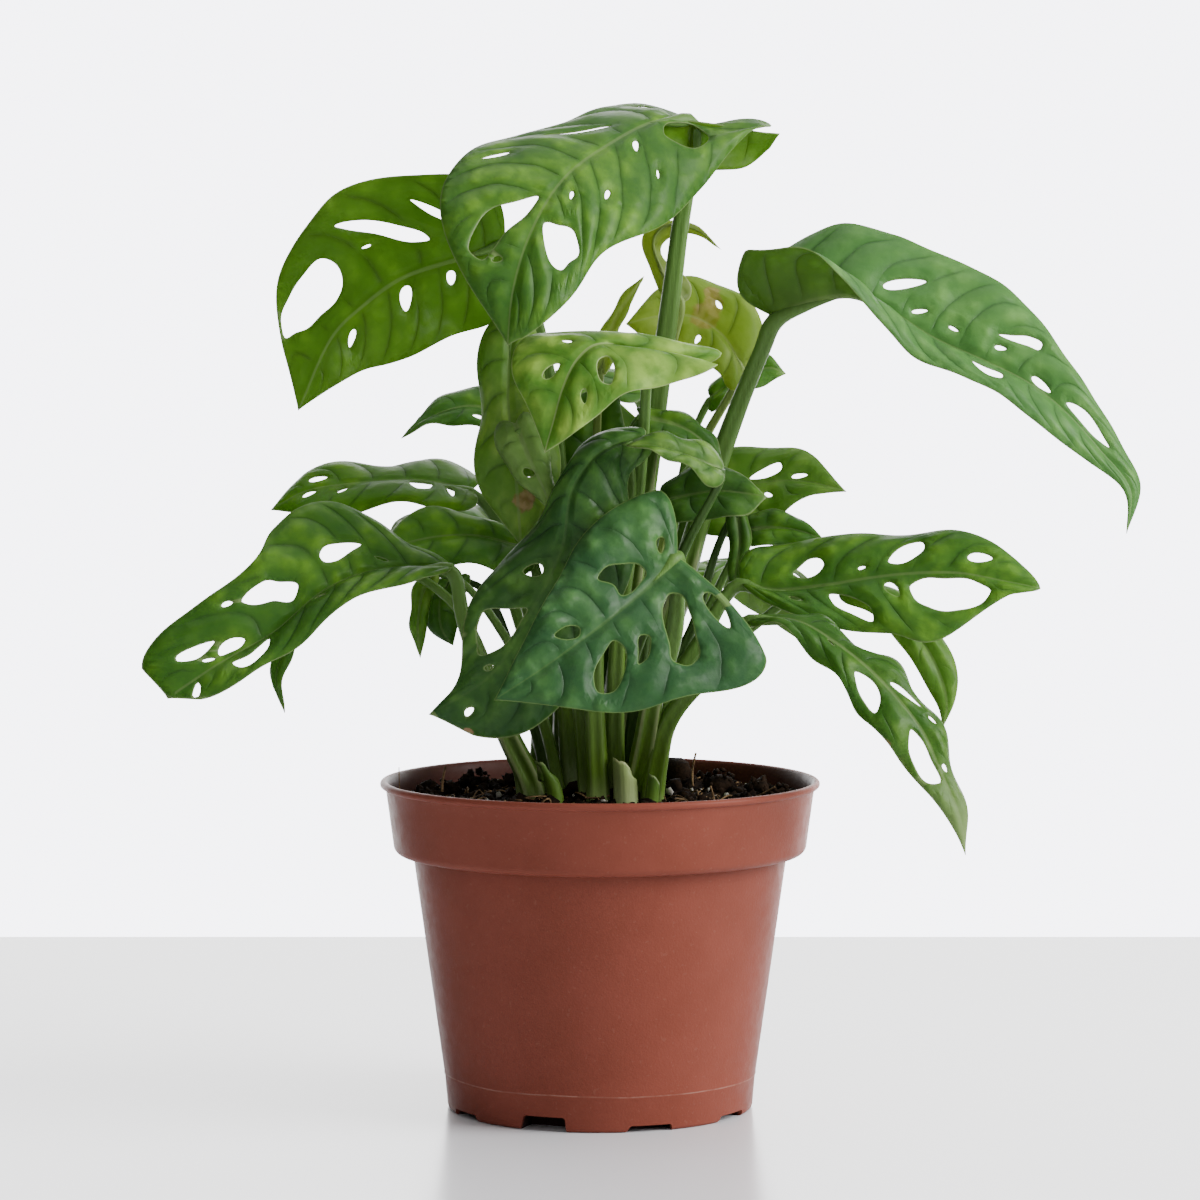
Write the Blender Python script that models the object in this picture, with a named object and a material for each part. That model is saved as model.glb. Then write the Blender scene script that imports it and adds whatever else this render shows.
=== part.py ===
"""Potted swiss cheese vine: a bushy young plant in a stepped plastic nursery pot.

The pot stands on its flat base, whose centre is the origin. Sizes below are in millimetres and become
metres when a mesh is made. +Z is up, +X is to the right and the plant is looked at from the -Y side.
"""

import math
from dataclasses import dataclass

import bmesh
import bpy
import numpy as np
from mathutils import Vector
from mathutils.geometry import delaunay_2d_cdt

MM = 0.001
GAP = 0.3

# Pot
LIP_RADIUS = 60.0
POT_HEIGHT = 90.0
LIP_HEIGHT = 2.2
BAND_TOP_RADIUS = 58.5
BAND_LOW_RADIUS = 56.4
BAND_HEIGHT = 20.0
BAND_ROUNDING = 2.4
BODY_TOP_RADIUS = 51.0
BODY_LOW_RADIUS = 42.6
BODY_LOW_HEIGHT = 9.0
BASE_RADIUS = 41.8
WALL = 1.2
FLOOR = 1.5
BENCH_HEIGHT = 5.0
BENCH_INNER_RADIUS = 29.0
POT_STEPS = 36
NOTCH_HEIGHTS = (4.0, 1.8, 1.8) * 3
FIRST_NOTCH_DEG = -111.0
NOTCH_WIDTH = 12.0
NOTCH_DEPTH = 9.0
DRAIN_RADIUS = 2.4
DRAIN_STEPS = 10

# Soil
SOIL_LEVEL = 84.0
SOIL_STEPS = 36
SOIL_RINGS = (14.0, 27.0, 38.0, 47.0)
MOUND_HEIGHT = 2.6
MOUND_RADIUS = 30.0
LUMP_HEIGHT = 0.7
ROOT_DEPTH = 7.0
FOOT_STRAIGHT = 3.5
FOOT_SUNK = 2.0
HOLE_STEPS = 8
HOLE_CLEARANCE = 0.55

# Foliage
STUB_TOP_SHARE = 0.35
EYE_DISTANCE = 1212.0
EYE_HEIGHT = 222.0
BLADE_THICKNESS = 0.7
PETIOLE_SIDES = 6
STALK_RINGS = 9
RIB_RINGS = 4
NECK_SHARE = 0.62
RIB_END_RADIUS = 0.5
RIB_SHARE = 0.16
RIB_SINK = 0.6
RIB_END_SINK = 0.3
SHARPEST_TURN = -0.2
HANGING_SHARE = 0.06
LOBE_START = 0.6
LOBE_END = 6.0
COARSE_STATIONS = (0.1, 0.45, 0.8)
FINE_STATIONS = (0.1, 0.3, 0.5, 0.7, 0.9)
MARGIN_POINTS = (7, 13)
MARGIN_STEP = 7.0
MARGIN_CROWDING = 1.5
HOLE_POINTS = 7
LEAST_SPACING = 3.63
BLADE_STEP = 11.0
HOLE_TAPER = 0.25

POT_COLOUR = (0.22, 0.07, 0.045)
SOIL_COLOUR = (0.03, 0.022, 0.016)
LEAF_COLOUR = (0.07, 0.2, 0.03)
STUB_COLOUR = (0.35, 0.4, 0.2)


@dataclass
class Leaf:
    """One leaf with its petiole.

    Points are x, y, z. x and z are read in the plane of the pot's axis, along the line of sight from the
    front, and y is the depth. left and right are the reach from the midrib to each margin at the coarse
    or fine stations, for someone who looks down on the leaf with its tip ahead. lobes are how far the
    left and right side reach back past the petiole. A place on the blade is a share along the midrib from
    0 to 1 and one across it from -1 at the right margin to 1 at the left one. A hole is the place of its
    end near the midrib, the place of its other end and its width. A cut is an uneven hole and has the
    places along its edge.
    """

    name: str
    foot: tuple
    petiole: tuple
    midrib: tuple
    left: tuple
    right: tuple
    holes: tuple = ()
    cuts: tuple = ()
    lobes: tuple = (5.0, 5.0)
    stem: float = 2.6
    peak: float = 0.33
    full: float = 0.55
    arch: float = 1.5
    wave: float = 1.0
    waves: float = 2.5


LEAVES = (
    Leaf(
        "leaf_top",
        foot=(3, 5.5),
        petiole=((8, 5, 140), (15, 6, 190), (21, 8, 235)),
        midrib=(
            (25, 8, 269), (16, -2, 269), (4, -16, 263.5), (-10, -32, 253), (-19, -44, 238),
            (-23.5, -50, 223), (-25, -52, 208),
        ),
        left=((3, -11, -11), (7.5, -13, -25.5), (8, -10, -22), (9, -6, -19), (3.3, -2, -8.5)),
        right=((-9.5, 18, 3.5), (-13, 18, 4.8), (-21, 12, 9), (-24, 5, 9), (-11, 1, 5)),
        holes=(
            (0.52, -0.66, 0.57, -0.82, 1.7),
            (0.515, 0.2, 0.535, 0.24, 1.7),
            (0.405, 0.43, 0.43, 0.5, 2),
            (0.255, 0.55, 0.27, 0.62, 1.3),
            (0.8, -0.24, 0.82, -0.36, 1.3),
            (0.245, 0.13, 0.262, 0.24, 2.4),
            (0.27, -0.25, 0.42, -0.64, 1.4),
            (0.11, -0.4, 0.16, -0.66, 1.6),
        ),
        cuts=(
            (
                (0.765, -0.6), (0.69, -0.45), (0.65, -0.27), (0.605, -0.1), (0.665, -0.11),
                (0.735, -0.25), (0.79, -0.36), (0.828, -0.54), (0.82, -0.68), (0.788, -0.65),
            ),
            (
                (0.66, 0.12), (0.615, 0.3), (0.568, 0.58), (0.578, 0.74), (0.64, 0.7), (0.675, 0.67),
                (0.698, 0.43), (0.683, 0.23),
            ),
            (
                (0.132, 0.18), (0.068, 0.14), (0.036, 0.21), (0.045, 0.46), (0.13, 0.7), (0.155, 0.685),
                (0.162, 0.445), (0.154, 0.28),
            ),
        ),
        lobes=(33, 8),
        stem=3.4,
        arch=2.0,
    ),
    Leaf(
        "leaf_upper_left",
        foot=(-10, 6),
        petiole=((-10, 14, 150), (-14, 17, 200), (-22, 12, 230)),
        midrib=(
            (-26, 6, 235.5), (-36, 0, 232.5), (-54, -8, 226.5), (-65, -12, 218.5), (-72.5, -14, 211),
            (-82, -16, 190.5),
        ),
        left=((-1.5, -6, 17.5), (-3.3, -8, 24), (-12, -8, 25.5), (-13.5, -5, 18), (-7, -2, 9.5)),
        right=((3.3, 6, -17), (5.4, 8, -19), (6.8, 7, -18), (7, 5, -10.8), (4.2, 1, -2.2)),
        holes=(
            (0.455, 0.4, 0.485, 0.42, 0.9),
            (0.395, -0.14, 0.425, -0.46, 4),
            (0.22, -0.14, 0.235, -0.34, 2.8),
            (0.635, -0.25, 0.69, -0.47, 2.4),
        ),
        cuts=(
            (
                (0.605, 0.65), (0.575, 0.47), (0.593, 0.28), (0.638, 0.22), (0.71, 0.26), (0.772, 0.34),
                (0.82, 0.53), (0.868, 0.84), (0.845, 0.9), (0.757, 0.76), (0.68, 0.71),
            ),
            (
                (0.529, 0.76), (0.459, 0.66), (0.365, 0.49), (0.29, 0.34), (0.278, 0.28), (0.33, 0.29),
                (0.432, 0.48), (0.504, 0.66),
            ),
            ((0.323, 0.73), (0.261, 0.63), (0.218, 0.52), (0.211, 0.45), (0.25, 0.51), (0.305, 0.66)),
        ),
        lobes=(4, 4),
    ),
    Leaf(
        "leaf_right_top",
        foot=(11.8, 5.4),
        petiole=((24, 8, 150), (37, 9, 190), (44, 6, 207)),
        midrib=(
            (47, 4, 216),
            (58.5, 0, 220.5),
            (68, -2, 222),
            (78.5, -3, 217.5),
            (90.5, -5, 210),
            (104.5, -8, 203.7),
            (117, -10, 197.5),
            (126.5, -12, 190),
            (136, -13, 179.5),
            (144, -14, 169),
            (143.3, -14, 157),
        ),
        left=((-2, 14, 15.5), (5.2, 14, 19.6), (7.3, 12, 19.8), (3.3, 6, 10.5), (3.5, 2, 0.5)),
        right=((-6.5, -14, 17), (-3, -14, -3.4), (-6.2, -12, -3.4), (-6.5, -6, -4.4), (-1.5, -1, -0.8)),
        holes=(
            (0.245, 0.24, 0.332, 0.56, 2.6),
            (0.314, 0.13, 0.347, 0.25, 1.1),
            (0.4, 0.2, 0.422, 0.19, 0.9),
            (0.505, 0.21, 0.53, 0.26, 1.3),
            (0.6, 0.1, 0.65, 0.1, 2.2),
        ),
        cuts=(
            (
                (0.506, 0.38), (0.536, 0.47), (0.575, 0.61), (0.605, 0.67), (0.602, 0.55), (0.572, 0.46),
                (0.539, 0.4),
            ),
            (
                (0.482, -0.45), (0.518, -0.42), (0.55, -0.38), (0.557, -0.57), (0.539, -0.67),
                (0.506, -0.6),
            ),
            ((0.692, 0.16), (0.74, 0.46), (0.791, 0.42), (0.812, 0.38), (0.785, 0.18), (0.734, 0.12)),
        ),
        lobes=(7, 14),
        stem=3.5,
    ),
    Leaf(
        "leaf_centre_small",
        foot=(4, -8),
        petiole=((5, -14, 130), (10, -17, 165), (12.3, -24, 192)),
        midrib=(
            (12.6, -30, 202),
            (7.8, -32, 206.3),
            (3, -34, 208.5),
            (-2, -37, 208),
            (-6.7, -40, 203.5),
            (-10, -43, 196.5),
            (-12.4, -45, 188),
            (-15, -47, 179),
        ),
        left=((18, -6, 1.5), (13, -8, -11.7), (10.5, -7, -9.4), (6.2, -5, -7.4), (2.4, -2, -2.3)),
        right=((19.5, 4, 4), (-3.5, 11, 2), (-13, 8, 7), (-12.5, 4, 5.5), (-4.5, 1, 4)),
        holes=(
            (0.645, -0.37, 0.545, -0.2, 2.6),
            (0.572, 0.45, 0.614, 0.66, 2.2),
            (0.41, -0.3, 0.43, -0.45, 1.2),
        ),
        cuts=(
            (
                (0.39, 0.27), (0.35, 0.28), (0.353, 0.38), (0.416, 0.66), (0.461, 0.75), (0.482, 0.64),
                (0.449, 0.41),
            ),
        ),
        lobes=(6, 6),
        stem=2.2,
    ),
    Leaf(
        "leaf_left_upright",
        foot=(-7, -1),
        petiole=((-11, 4, 140), (-18, 5, 190), (-22, 0, 211)),
        midrib=((-24, -10, 214), (-25, -15, 193), (-23, -17, 174), (-21.5, -18, 153.5)),
        left=((6, 2, 1), (11, 4, 2), (9.5, 3, 1)),
        right=((-7, 2, 0), (-8, 3, 0), (-9.4, 2, 1)),
        holes=((0.7, 0.2, 0.74, 0.4, 2.4),),
        stem=2.9,
    ),
    Leaf(
        "leaf_left_inner",
        foot=(-4, -8),
        petiole=((-8, -12, 130), (-15, -21, 172)),
        midrib=((-23, -24, 187), (-19, -27, 177), (-15, -28, 168.5), (-13, -28, 162.5)),
        left=((4, 1, 2.5), (5, 2, 0.8), (2, 1, 0)),
        right=((-5, 2, -1), (-6.4, 3, -1.8), (-2.4, 1, -1)),
        holes=(
            (0.51, -0.1, 0.56, -0.42, 2.8),
        ),
        lobes=(3, 3),
        stem=1.6,
    ),
    Leaf(
        "leaf_low_left",
        foot=(-0.5, -14.3),
        petiole=((-1, -20, 130), (8, -23, 168)),
        midrib=(
            (12.4, -28, 184),
            (0, -33, 179),
            (-7.5, -36, 169),
            (-10.5, -39, 152.5),
            (-20, -42, 133.5),
            (-29.8, -43, 118.5),
            (-46.8, -42, 107.6),
        ),
        left=((3, -2, -7), (16, 4, -6), (18, 6, -8), (13, 4, -16), (3, 0, -10.5)),
        right=((-2.5, 5, 3.4), (-4.5, 6, 0.8), (-14, 6, 2.5), (-13.5, 4, 2.7), (-3.3, 1, 0.5)),
        holes=(
            (0.785, -0.1, 0.785, -0.3, 2),
            (0.488, -0.16, 0.507, -0.46, 3.6),
            (0.905, 0.46, 0.878, 0.36, 1),
        ),
        cuts=(
            (
                (0.716, -0.69), (0.668, -0.73), (0.632, -0.68), (0.614, -0.32), (0.602, -0.1),
                (0.64, -0.08), (0.689, -0.1), (0.725, -0.2), (0.755, -0.53),
            ),
        ),
        lobes=(4, 4),
        stem=2.5,
    ),
    Leaf(
        "leaf_front",
        foot=(11.5, -9.4),
        petiole=((18, -20, 110), (21, -32, 138)),
        midrib=(
            (21, -42, 151), (15, -46, 144.5), (4.8, -54, 135.5), (-5.6, -60, 127.5), (-16, -64, 120),
            (-29, -68, 111.5),
        ),
        left=((25, -8, -24.5), (16, -8, -24.5), (10.5, -6, -20.5), (8, -4, -13), (3, -1, -4)),
        right=((-4, 7, 17.5), (-12, 7, 18), (-9.5, 6, 13.5), (-6, 3, 9), (-2, 1, 3)),
        holes=(
            (0.07, -0.3, 0.11, -0.42, 3),
            (0.045, 0.5, 0.095, 0.66, 4),
        ),
        cuts=(
            (
                (0.371, -0.48), (0.323, -0.5), (0.26, -0.4), (0.194, -0.25), (0.18, -0.14), (0.218, -0.1),
                (0.275, -0.08), (0.323, -0.14), (0.325, -0.26),
            ),
            ((0.656, -0.4), (0.59, -0.34), (0.551, -0.16), (0.566, -0.09), (0.617, -0.16)),
            (
                (0.185, 0.17), (0.14, 0.15), (0.116, 0.21), (0.143, 0.33), (0.185, 0.48), (0.236, 0.68),
                (0.272, 0.72), (0.299, 0.66), (0.278, 0.5),
            ),
            (
                (0.599, 0.48), (0.515, 0.28), (0.452, 0.21), (0.428, 0.33), (0.47, 0.54), (0.548, 0.73),
                (0.614, 0.7),
            ),
            ((0.344, 0.31), (0.32, 0.35), (0.335, 0.43), (0.38, 0.54), (0.41, 0.55), (0.39, 0.45)),
        ),
        lobes=(4, 6),
        stem=3.0,
    ),
    Leaf(
        "leaf_left_long",
        foot=(-18, -8),
        petiole=((-26, -8, 104), (-37, -6, 133)),
        midrib=(
            (-40.5, -6, 148), (-61, -12, 147), (-75, -18, 141.5), (-89, -24, 130), (-103, -30, 122),
            (-118, -34, 112),
        ),
        left=((0, -12, -2), (4, -12, -4), (4, -10, -5), (3, -7, -5.5), (1.5, -3, -5)),
        right=((-5, 8, 6), (-9, 12, 19), (-8.5, 10, 21), (-7.2, 6, 16), (-14.5, 3, 2.6)),
        holes=(
            (0.45, 0.13, 0.42, 0.32, 1.4),
            (0.72, -0.76, 0.703, -0.69, 1.7),
            (0.83, -0.19, 0.805, -0.11, 0.9),
            (0.19, -0.12, 0.225, -0.2, 1.4),
        ),
        cuts=(
            (
                (0.392, -0.36), (0.368, -0.43), (0.326, -0.42), (0.254, -0.37), (0.293, -0.29),
                (0.353, -0.23), (0.383, -0.27),
            ),
            (
                (0.686, -0.63), (0.671, -0.69), (0.617, -0.65), (0.557, -0.46), (0.491, -0.22),
                (0.515, -0.15), (0.596, -0.34), (0.677, -0.56),
            ),
            (
                (0.848, -0.53), (0.809, -0.47), (0.77, -0.34), (0.791, -0.29), (0.842, -0.33),
                (0.855, -0.47),
            ),
            ((0.79, -0.1), (0.765, -0.24), (0.737, -0.24), (0.71, -0.12), (0.725, -0.07), (0.765, -0.07)),
            ((0.773, 0.28), (0.713, 0.36), (0.64, 0.2), (0.656, 0.55), (0.71, 0.74), (0.752, 0.62)),
            ((0.911, 0.45), (0.893, 0.2), (0.888, 0.5), (0.898, 0.8), (0.92, 0.8)),
        ),
        lobes=(2, 2),
        stem=2.9,
    ),
    Leaf(
        "leaf_left_back",
        foot=(-13, 13),
        petiole=((-18, 26, 130), (-28, 34, 160)),
        midrib=((-35, 36, 169), (-50, 38, 171.5), (-68, 39, 170.5), (-80, 39, 168.5), (-89.5, 39, 163.5)),
        left=((0, -11, -5), (0, -12, -6.5), (-1, -7, -6.5)),
        right=((0, 14, 4.8), (0, 16, 4), (-1.5, 8, 5)),
        holes=(
            (0.112, 0.17, 0.12, 0.6, 2),
            (0.785, -0.38, 0.695, -0.3, 2.2),
            (0.818, 0.24, 0.752, 0.16, 1.8),
            (0.644, 0.34, 0.593, 0.22, 1.2),
        ),
        cuts=(
            ((0.299, 0.19), (0.275, 0.53), (0.221, 0.45), (0.206, 0.14), (0.251, 0.12)),
        ),
        stem=2.2,
    ),
    Leaf(
        "leaf_left_wavy",
        foot=(-17, 6),
        petiole=((-16, 10, 120), (-17, 15, 145)),
        midrib=((-20, 16, 153), (-35, 16, 156.5), (-50, 15, 155), (-63, 13, 150)),
        left=((0, -6, -6), (0, -6, -8), (0, -4, -5)),
        right=((0, 4, 0.6), (0, 4, 7), (0, 3, 6.5)),
        stem=2.2,
        wave=1.6,
    ),
    Leaf(
        "leaf_left_small",
        foot=(-6, 13),
        petiole=((-11, 30, 130), (-14, 30, 175)),
        midrib=((-22, 26, 189), (-36, 22, 191.5), (-47, 17, 188), (-54, 13, 183)),
        left=((1, -5, -6), (1, -5, -5), (1, -3, -0.8)),
        right=((-1, 5, 5), (-2, 5, 5), (-1, 3, 1.4)),
        holes=(
            (0.33, 0.62, 0.4, 0.6, 1.5),
        ),
        stem=1.8,
    ),
    Leaf(
        "leaf_under_left",
        foot=(-21, -2),
        petiole=((-29, 0, 116), (-40, 2, 138), (-57, 3, 147.5)),
        midrib=((-76, 0, 139), (-83, -1, 130), (-88, -3, 118), (-86, -4, 108)),
        left=((3, -2, 1), (2.4, -2, 0), (1.4, -1, 0)),
        right=((-3, 2, -1), (-2.4, 2, 0), (-1.4, 1, 0)),
        lobes=(2, 2),
        stem=1.5,
    ),
    Leaf(
        "leaf_under_yellow",
        foot=(-11, -8),
        petiole=((-20, 2, 118), (-38, 6, 144)),
        midrib=((-46, 5, 146), (-48.5, 5, 140), (-49.5, 4, 131), (-49, 4, 123)),
        left=((2.6, 0, 0), (2.6, 0, 0), (1.6, 0, 0)),
        right=((-2.5, 1, 0), (-2.6, 1, 0), (-1.5, 1, 0)),
        lobes=(2, 2),
        stem=1.5,
    ),
    Leaf(
        "leaf_under_dark",
        foot=(-14, -1),
        petiole=((-22, 9, 118), (-32, 16, 142)),
        midrib=((-41, 11, 144), (-43.5, 11, 138), (-43, 10, 131), (-40, 10, 126.5)),
        left=((5, -1, 1), (6, -1, 0), (3, 0, 0)),
        right=((-3, 1, 0), (-4, 1, -1), (-2, 1, -1)),
        lobes=(3, 3),
        stem=1.5,
    ),
    Leaf(
        "leaf_new_tip",
        foot=(8, 12),
        petiole=((10, 17, 150), (19, 15, 205)),
        midrib=(
            (22, 16, 220), (16.5, 17, 229), (14.5, 18, 237), (18.6, 18, 241), (26, 17, 239.5),
            (33, 16, 234),
        ),
        left=((4, 2, 2), (2.4, 2, -1.8), (1, 1, -2)),
        right=((-3.4, 2, -1), (-2.2, 3, 1.3), (0, 1, 1)),
        lobes=(2, 2),
        stem=1.7,
    ),
    Leaf(
        "leaf_spear",
        foot=(1, 12),
        petiole=((-2, 18, 140), (-1, 18, 180)),
        midrib=((0, 17, 200), (2.5, 17, 211), (6.3, 16.5, 219), (12, 16, 227)),
        left=((-2, 1, 1), (-2, 1, 1), (-1, 1, 1)),
        right=((2, 1, -1), (2, 1, -1), (1, 1, 0)),
        lobes=(0.5, 0.5),
        stem=1.7,
        peak=0.4,
    ),
    Leaf(
        "leaf_new_broad",
        foot=(5, 19),
        petiole=((12, 26, 140), (27, 31, 180)),
        midrib=((38.5, 23, 202), (33, 24, 211), (25, 25, 216), (16, 25, 216), (7, 24, 214)),
        left=((-3, -3, -5), (0, -4, -12), (0, -3, -8)),
        right=((6, 4, 9), (3, 6, 11), (0, 4, 7)),
        holes=((0.47, 0.4, 0.51, 0.62, 1.4), (0.36, -0.4, 0.4, -0.55, 1.6)),
        stem=1.8,
    ),
    Leaf(
        "leaf_back_tip",
        foot=(12, 19),
        petiole=((18, 38, 140), (24, 40, 180)),
        midrib=((30, 40, 194), (40, 42, 200), (46, 42, 202), (50.5, 42, 200.5)),
        left=((0, 3, 4), (0, 3, 4), (0, 2, 3.6)),
        right=((0, -3, -4), (0, -3, -4), (-1, -2, -4.5)),
        lobes=(2, 2),
        stem=1.6,
    ),
    Leaf(
        "leaf_centre_dark",
        foot=(-4, 6.5),
        petiole=((1, 2, 140), (6, 0, 175)),
        midrib=((11, -4, 189), (22, -5, 186), (28, -5, 182), (33.6, -5, 176)),
        left=((0.5, 4, 2.5), (3, 4, 2.2), (2, 2, 1.6)),
        right=((-2, -2, -6), (-2, -2, -6), (-1, -1, -3)),
        lobes=(3, 3),
        stem=1.8,
    ),
    Leaf(
        "leaf_centre_folded",
        foot=(0, -2),
        petiole=((10, -12, 125), (24, -22, 155)),
        midrib=((33.5, -27, 174), (25, -32, 177.5), (15, -37, 180.5), (7, -38, 181)),
        left=((0, -5, -4.5), (-1, -5, -2), (-1, -3, -0.7)),
        right=((0, 4, 4), (-1, 4, 5), (-1, 2, 3)),
        lobes=(1, 1.5),
        stem=1.8,
    ),
    Leaf(
        "leaf_centre_right",
        foot=(7, -2),
        petiole=((12, -5, 120), (14, -8, 150)),
        midrib=((17.8, -12, 166), (31.5, -14, 168.5), (39, -15, 168), (45.5, -16, 167)),
        left=((0, 3, 5), (1, 3, 7.5), (1, 2, 3.3)),
        right=((0, -3, -5.5), (0, -4, -6.8), (1, -3, -4.9)),
        lobes=(3, 3),
        stem=1.8,
    ),
    Leaf(
        "leaf_right_back",
        foot=(15, 12),
        petiole=((18, 17, 120), (21, 19, 150)),
        midrib=((25, 19, 166), (40, 19, 170.5), (55, 17, 171.2), (67, 14, 168.5)),
        left=((-2, 6, 8.5), (0, 6, 9.5), (0.5, 4, 6.6)),
        right=((2, -6, -8), (1, -6, -13.5), (-1, -4, -2.5)),
        holes=(
            (0.644, 0.1, 0.745, 0.22, 1.2),
            (0.47, -0.27, 0.521, -0.38, 1.3),
        ),
        cuts=(
            ((0.385, 0.1), (0.464, 0.3), (0.575, 0.47), (0.583, 0.32), (0.512, 0.12), (0.428, 0.08)),
        ),
        stem=2.2,
    ),
    Leaf(
        "leaf_right_under",
        foot=(19, 5.4),
        petiole=((24, 6, 120), (34, 9, 146)),
        midrib=((41, 8, 158), (48, 8, 158.5), (55, 7, 157.5), (62, 6, 154.5)),
        left=((0, 2, 4), (0, 2, 4.5), (0, 1, 2)),
        right=((0, -2, -4), (0, -2, -4), (0, -1, -2)),
        lobes=(3, 3),
        stem=1.6,
    ),
    Leaf(
        "leaf_dark_strap",
        foot=(21, -2),
        petiole=((24, 1, 110), (28, 5, 140), (34, 8.5, 158)),
        midrib=((37, 5, 164), (38, 4, 155), (37, 3, 147), (36, 3, 139)),
        left=((2.6, 0.7, 0), (2.8, 0.9, 0), (1.6, 0.5, 0)),
        right=((-2.6, 0.5, 0), (-2.8, 0.7, 0), (-1.6, 0.3, 0)),
        lobes=(2, 2),
        stem=1.6,
    ),
    Leaf(
        "leaf_right_long",
        foot=(14.5, -2.4),
        petiole=((23, -8, 115), (33, -8, 138)),
        midrib=(
            (38, -8, 144),
            (46, -10, 141.5),
            (62, -14, 143),
            (74, -16, 145),
            (86, -18, 146.3),
            (98, -20, 146.3),
            (110, -22, 144),
            (120, -23, 142),
        ),
        left=((1, 9, 11), (2, 10, 12.6), (2, 10, 10.6), (3, 8, 10.6), (2.5, 4, 5.8)),
        right=((4, -8, -4), (2, -8, -10.8), (0, -8, -14.8), (-2, -6, -17.4), (0, -3, -2.8)),
        holes=(
            (0.4, 0.2, 0.425, 0.22, 1.2),
            (0.748, 0.36, 0.824, 0.53, 2.8),
            (0.49, -0.16, 0.54, -0.38, 2.8),
            (0.155, -0.42, 0.2, -0.5, 1.6),
        ),
        cuts=(
            (
                (0.185, 0.28), (0.209, 0.42), (0.239, 0.53), (0.272, 0.5), (0.287, 0.37), (0.269, 0.23),
                (0.233, 0.17),
            ),
            (
                (0.5, 0.26), (0.518, 0.48), (0.557, 0.66), (0.593, 0.7), (0.608, 0.5), (0.581, 0.3),
                (0.542, 0.2),
            ),
            (
                (0.575, -0.22), (0.602, -0.12), (0.689, -0.1), (0.788, -0.16), (0.836, -0.5),
                (0.821, -0.72), (0.731, -0.65), (0.65, -0.52), (0.59, -0.38),
            ),
            (
                (0.302, -0.26), (0.342, -0.29), (0.404, -0.46), (0.44, -0.62), (0.445, -0.8),
                (0.368, -0.68), (0.311, -0.48),
            ),
        ),
        lobes=(3, 2),
        stem=2.8,
        peak=0.42,
    ),
    Leaf(
        "leaf_right_strap",
        foot=(21.5, 11.5),
        petiole=((30, 14, 112), (50, 12, 138)),
        midrib=(
            (66, 8, 142), (78, 4, 138), (87.5, 0, 128), (93, -3, 117.5), (94.6, -5, 110),
            (93.4, -5, 103.5),
        ),
        left=((2, 2, 3), (4.2, 2, 3), (3.6, 1, 2)),
        right=((-2, -2, -3), (-4.2, -1, -3), (-3.6, 0, -1)),
        lobes=(2, 2),
        stem=1.6,
    ),
    Leaf(
        "leaf_right_drooping",
        foot=(18.6, -12),
        petiole=((25, -18, 106), (36.5, -26, 128)),
        midrib=(
            (40, -30, 134),
            (53.6, -34, 133),
            (66.5, -38, 125.5),
            (77.5, -42, 116),
            (88, -45, 103),
            (93, -46, 92),
            (98, -47, 80),
            (100, -47, 69),
        ),
        left=((3, 8, 0), (3.4, 8, 0.9), (5.6, 7, 1.8), (4, 4, 1.2), (2, 2, 0)),
        right=((-1, -5, -2), (-3, -4, -6), (-7.7, -3, -6.5), (-6.5, -2, -4.5), (-2, -1, -1.5)),
        holes=(
            (0.464, 0.15, 0.567, 0.5, 1.8),
            (0.735, 0.25, 0.76, 0.3, 1.4),
            (0.25, -0.12, 0.275, -0.2, 1.2),
            (0.6, 0.5, 0.628, 0.62, 1.1),
        ),
        cuts=(
            (
                (0.371, -0.43), (0.404, -0.25), (0.446, -0.22), (0.488, -0.43), (0.503, -0.68),
                (0.452, -0.72), (0.404, -0.65),
            ),
            (
                (0.605, -0.26), (0.638, -0.17), (0.701, -0.17), (0.776, -0.3), (0.765, -0.6),
                (0.692, -0.74), (0.635, -0.56),
            ),
        ),
        lobes=(3, 2),
        stem=2.8,
        wave=2.4,
        waves=4.5,
    ),
    Leaf(
        "leaf_centre_back",
        foot=(3, 27),
        petiole=((2.5, 26.5, 112), (0.5, 26, 132)),
        midrib=((-1.5, 25.5, 146), (-3, 25, 160), (-3, 24, 176), (0, 24, 190), (5, 23.5, 199)),
        left=((-9, -1, 1), (-16, -1.5, 3), (-9, -1, 4)),
        right=((8, -1, 0), (13, -2, -2), (7, -1, -3)),
        lobes=(3, 3),
        stem=1.8,
    ),
    Leaf(
        "leaf_back_high",
        foot=(-2, 19),
        petiole=((-2, 36, 130), (-2, 50, 175)),
        midrib=((-2, 58, 196), (-2, 74, 202), (0, 92, 196), (2, 108, 184), (3, 118, 170)),
        left=((-14, 0, -2), (-20, 0, -5), (-9, 0, -4)),
        right=((14, 0, -2), (20, 0, -5), (9, 0, -4)),
        holes=(
            (0.2, 0.25, 0.38, 0.68, 6),
            (0.2, -0.25, 0.38, -0.68, 6),
            (0.45, 0.25, 0.6, 0.66, 5),
            (0.47, -0.22, 0.62, -0.62, 5),
            (0.1, 0.3, 0.13, 0.5, 3),
            (0.68, 0.22, 0.76, 0.5, 3),
        ),
        lobes=(8, 8),
    ),
    Leaf(
        "leaf_back_left",
        foot=(-9, 20),
        petiole=((-16, 36, 115), (-24, 50, 140)),
        midrib=((-28, 58, 157), (-34, 73, 164), (-43, 91, 163), (-50, 106, 157), (-56, 115, 149)),
        left=((-13, -4, -2), (-17, -6, -5), (-8, -3, -4)),
        right=((12, 6, -2), (15, 8, -5), (7, 4, -3)),
        holes=(
            (0.24, 0.25, 0.42, 0.7, 5),
            (0.22, -0.25, 0.4, -0.68, 5),
            (0.47, 0.22, 0.64, 0.64, 5),
            (0.5, -0.24, 0.64, -0.62, 4),
            (0.1, -0.3, 0.13, -0.5, 2.4),
        ),
        lobes=(6, 6),
        stem=2.3,
    ),
    Leaf(
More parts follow.
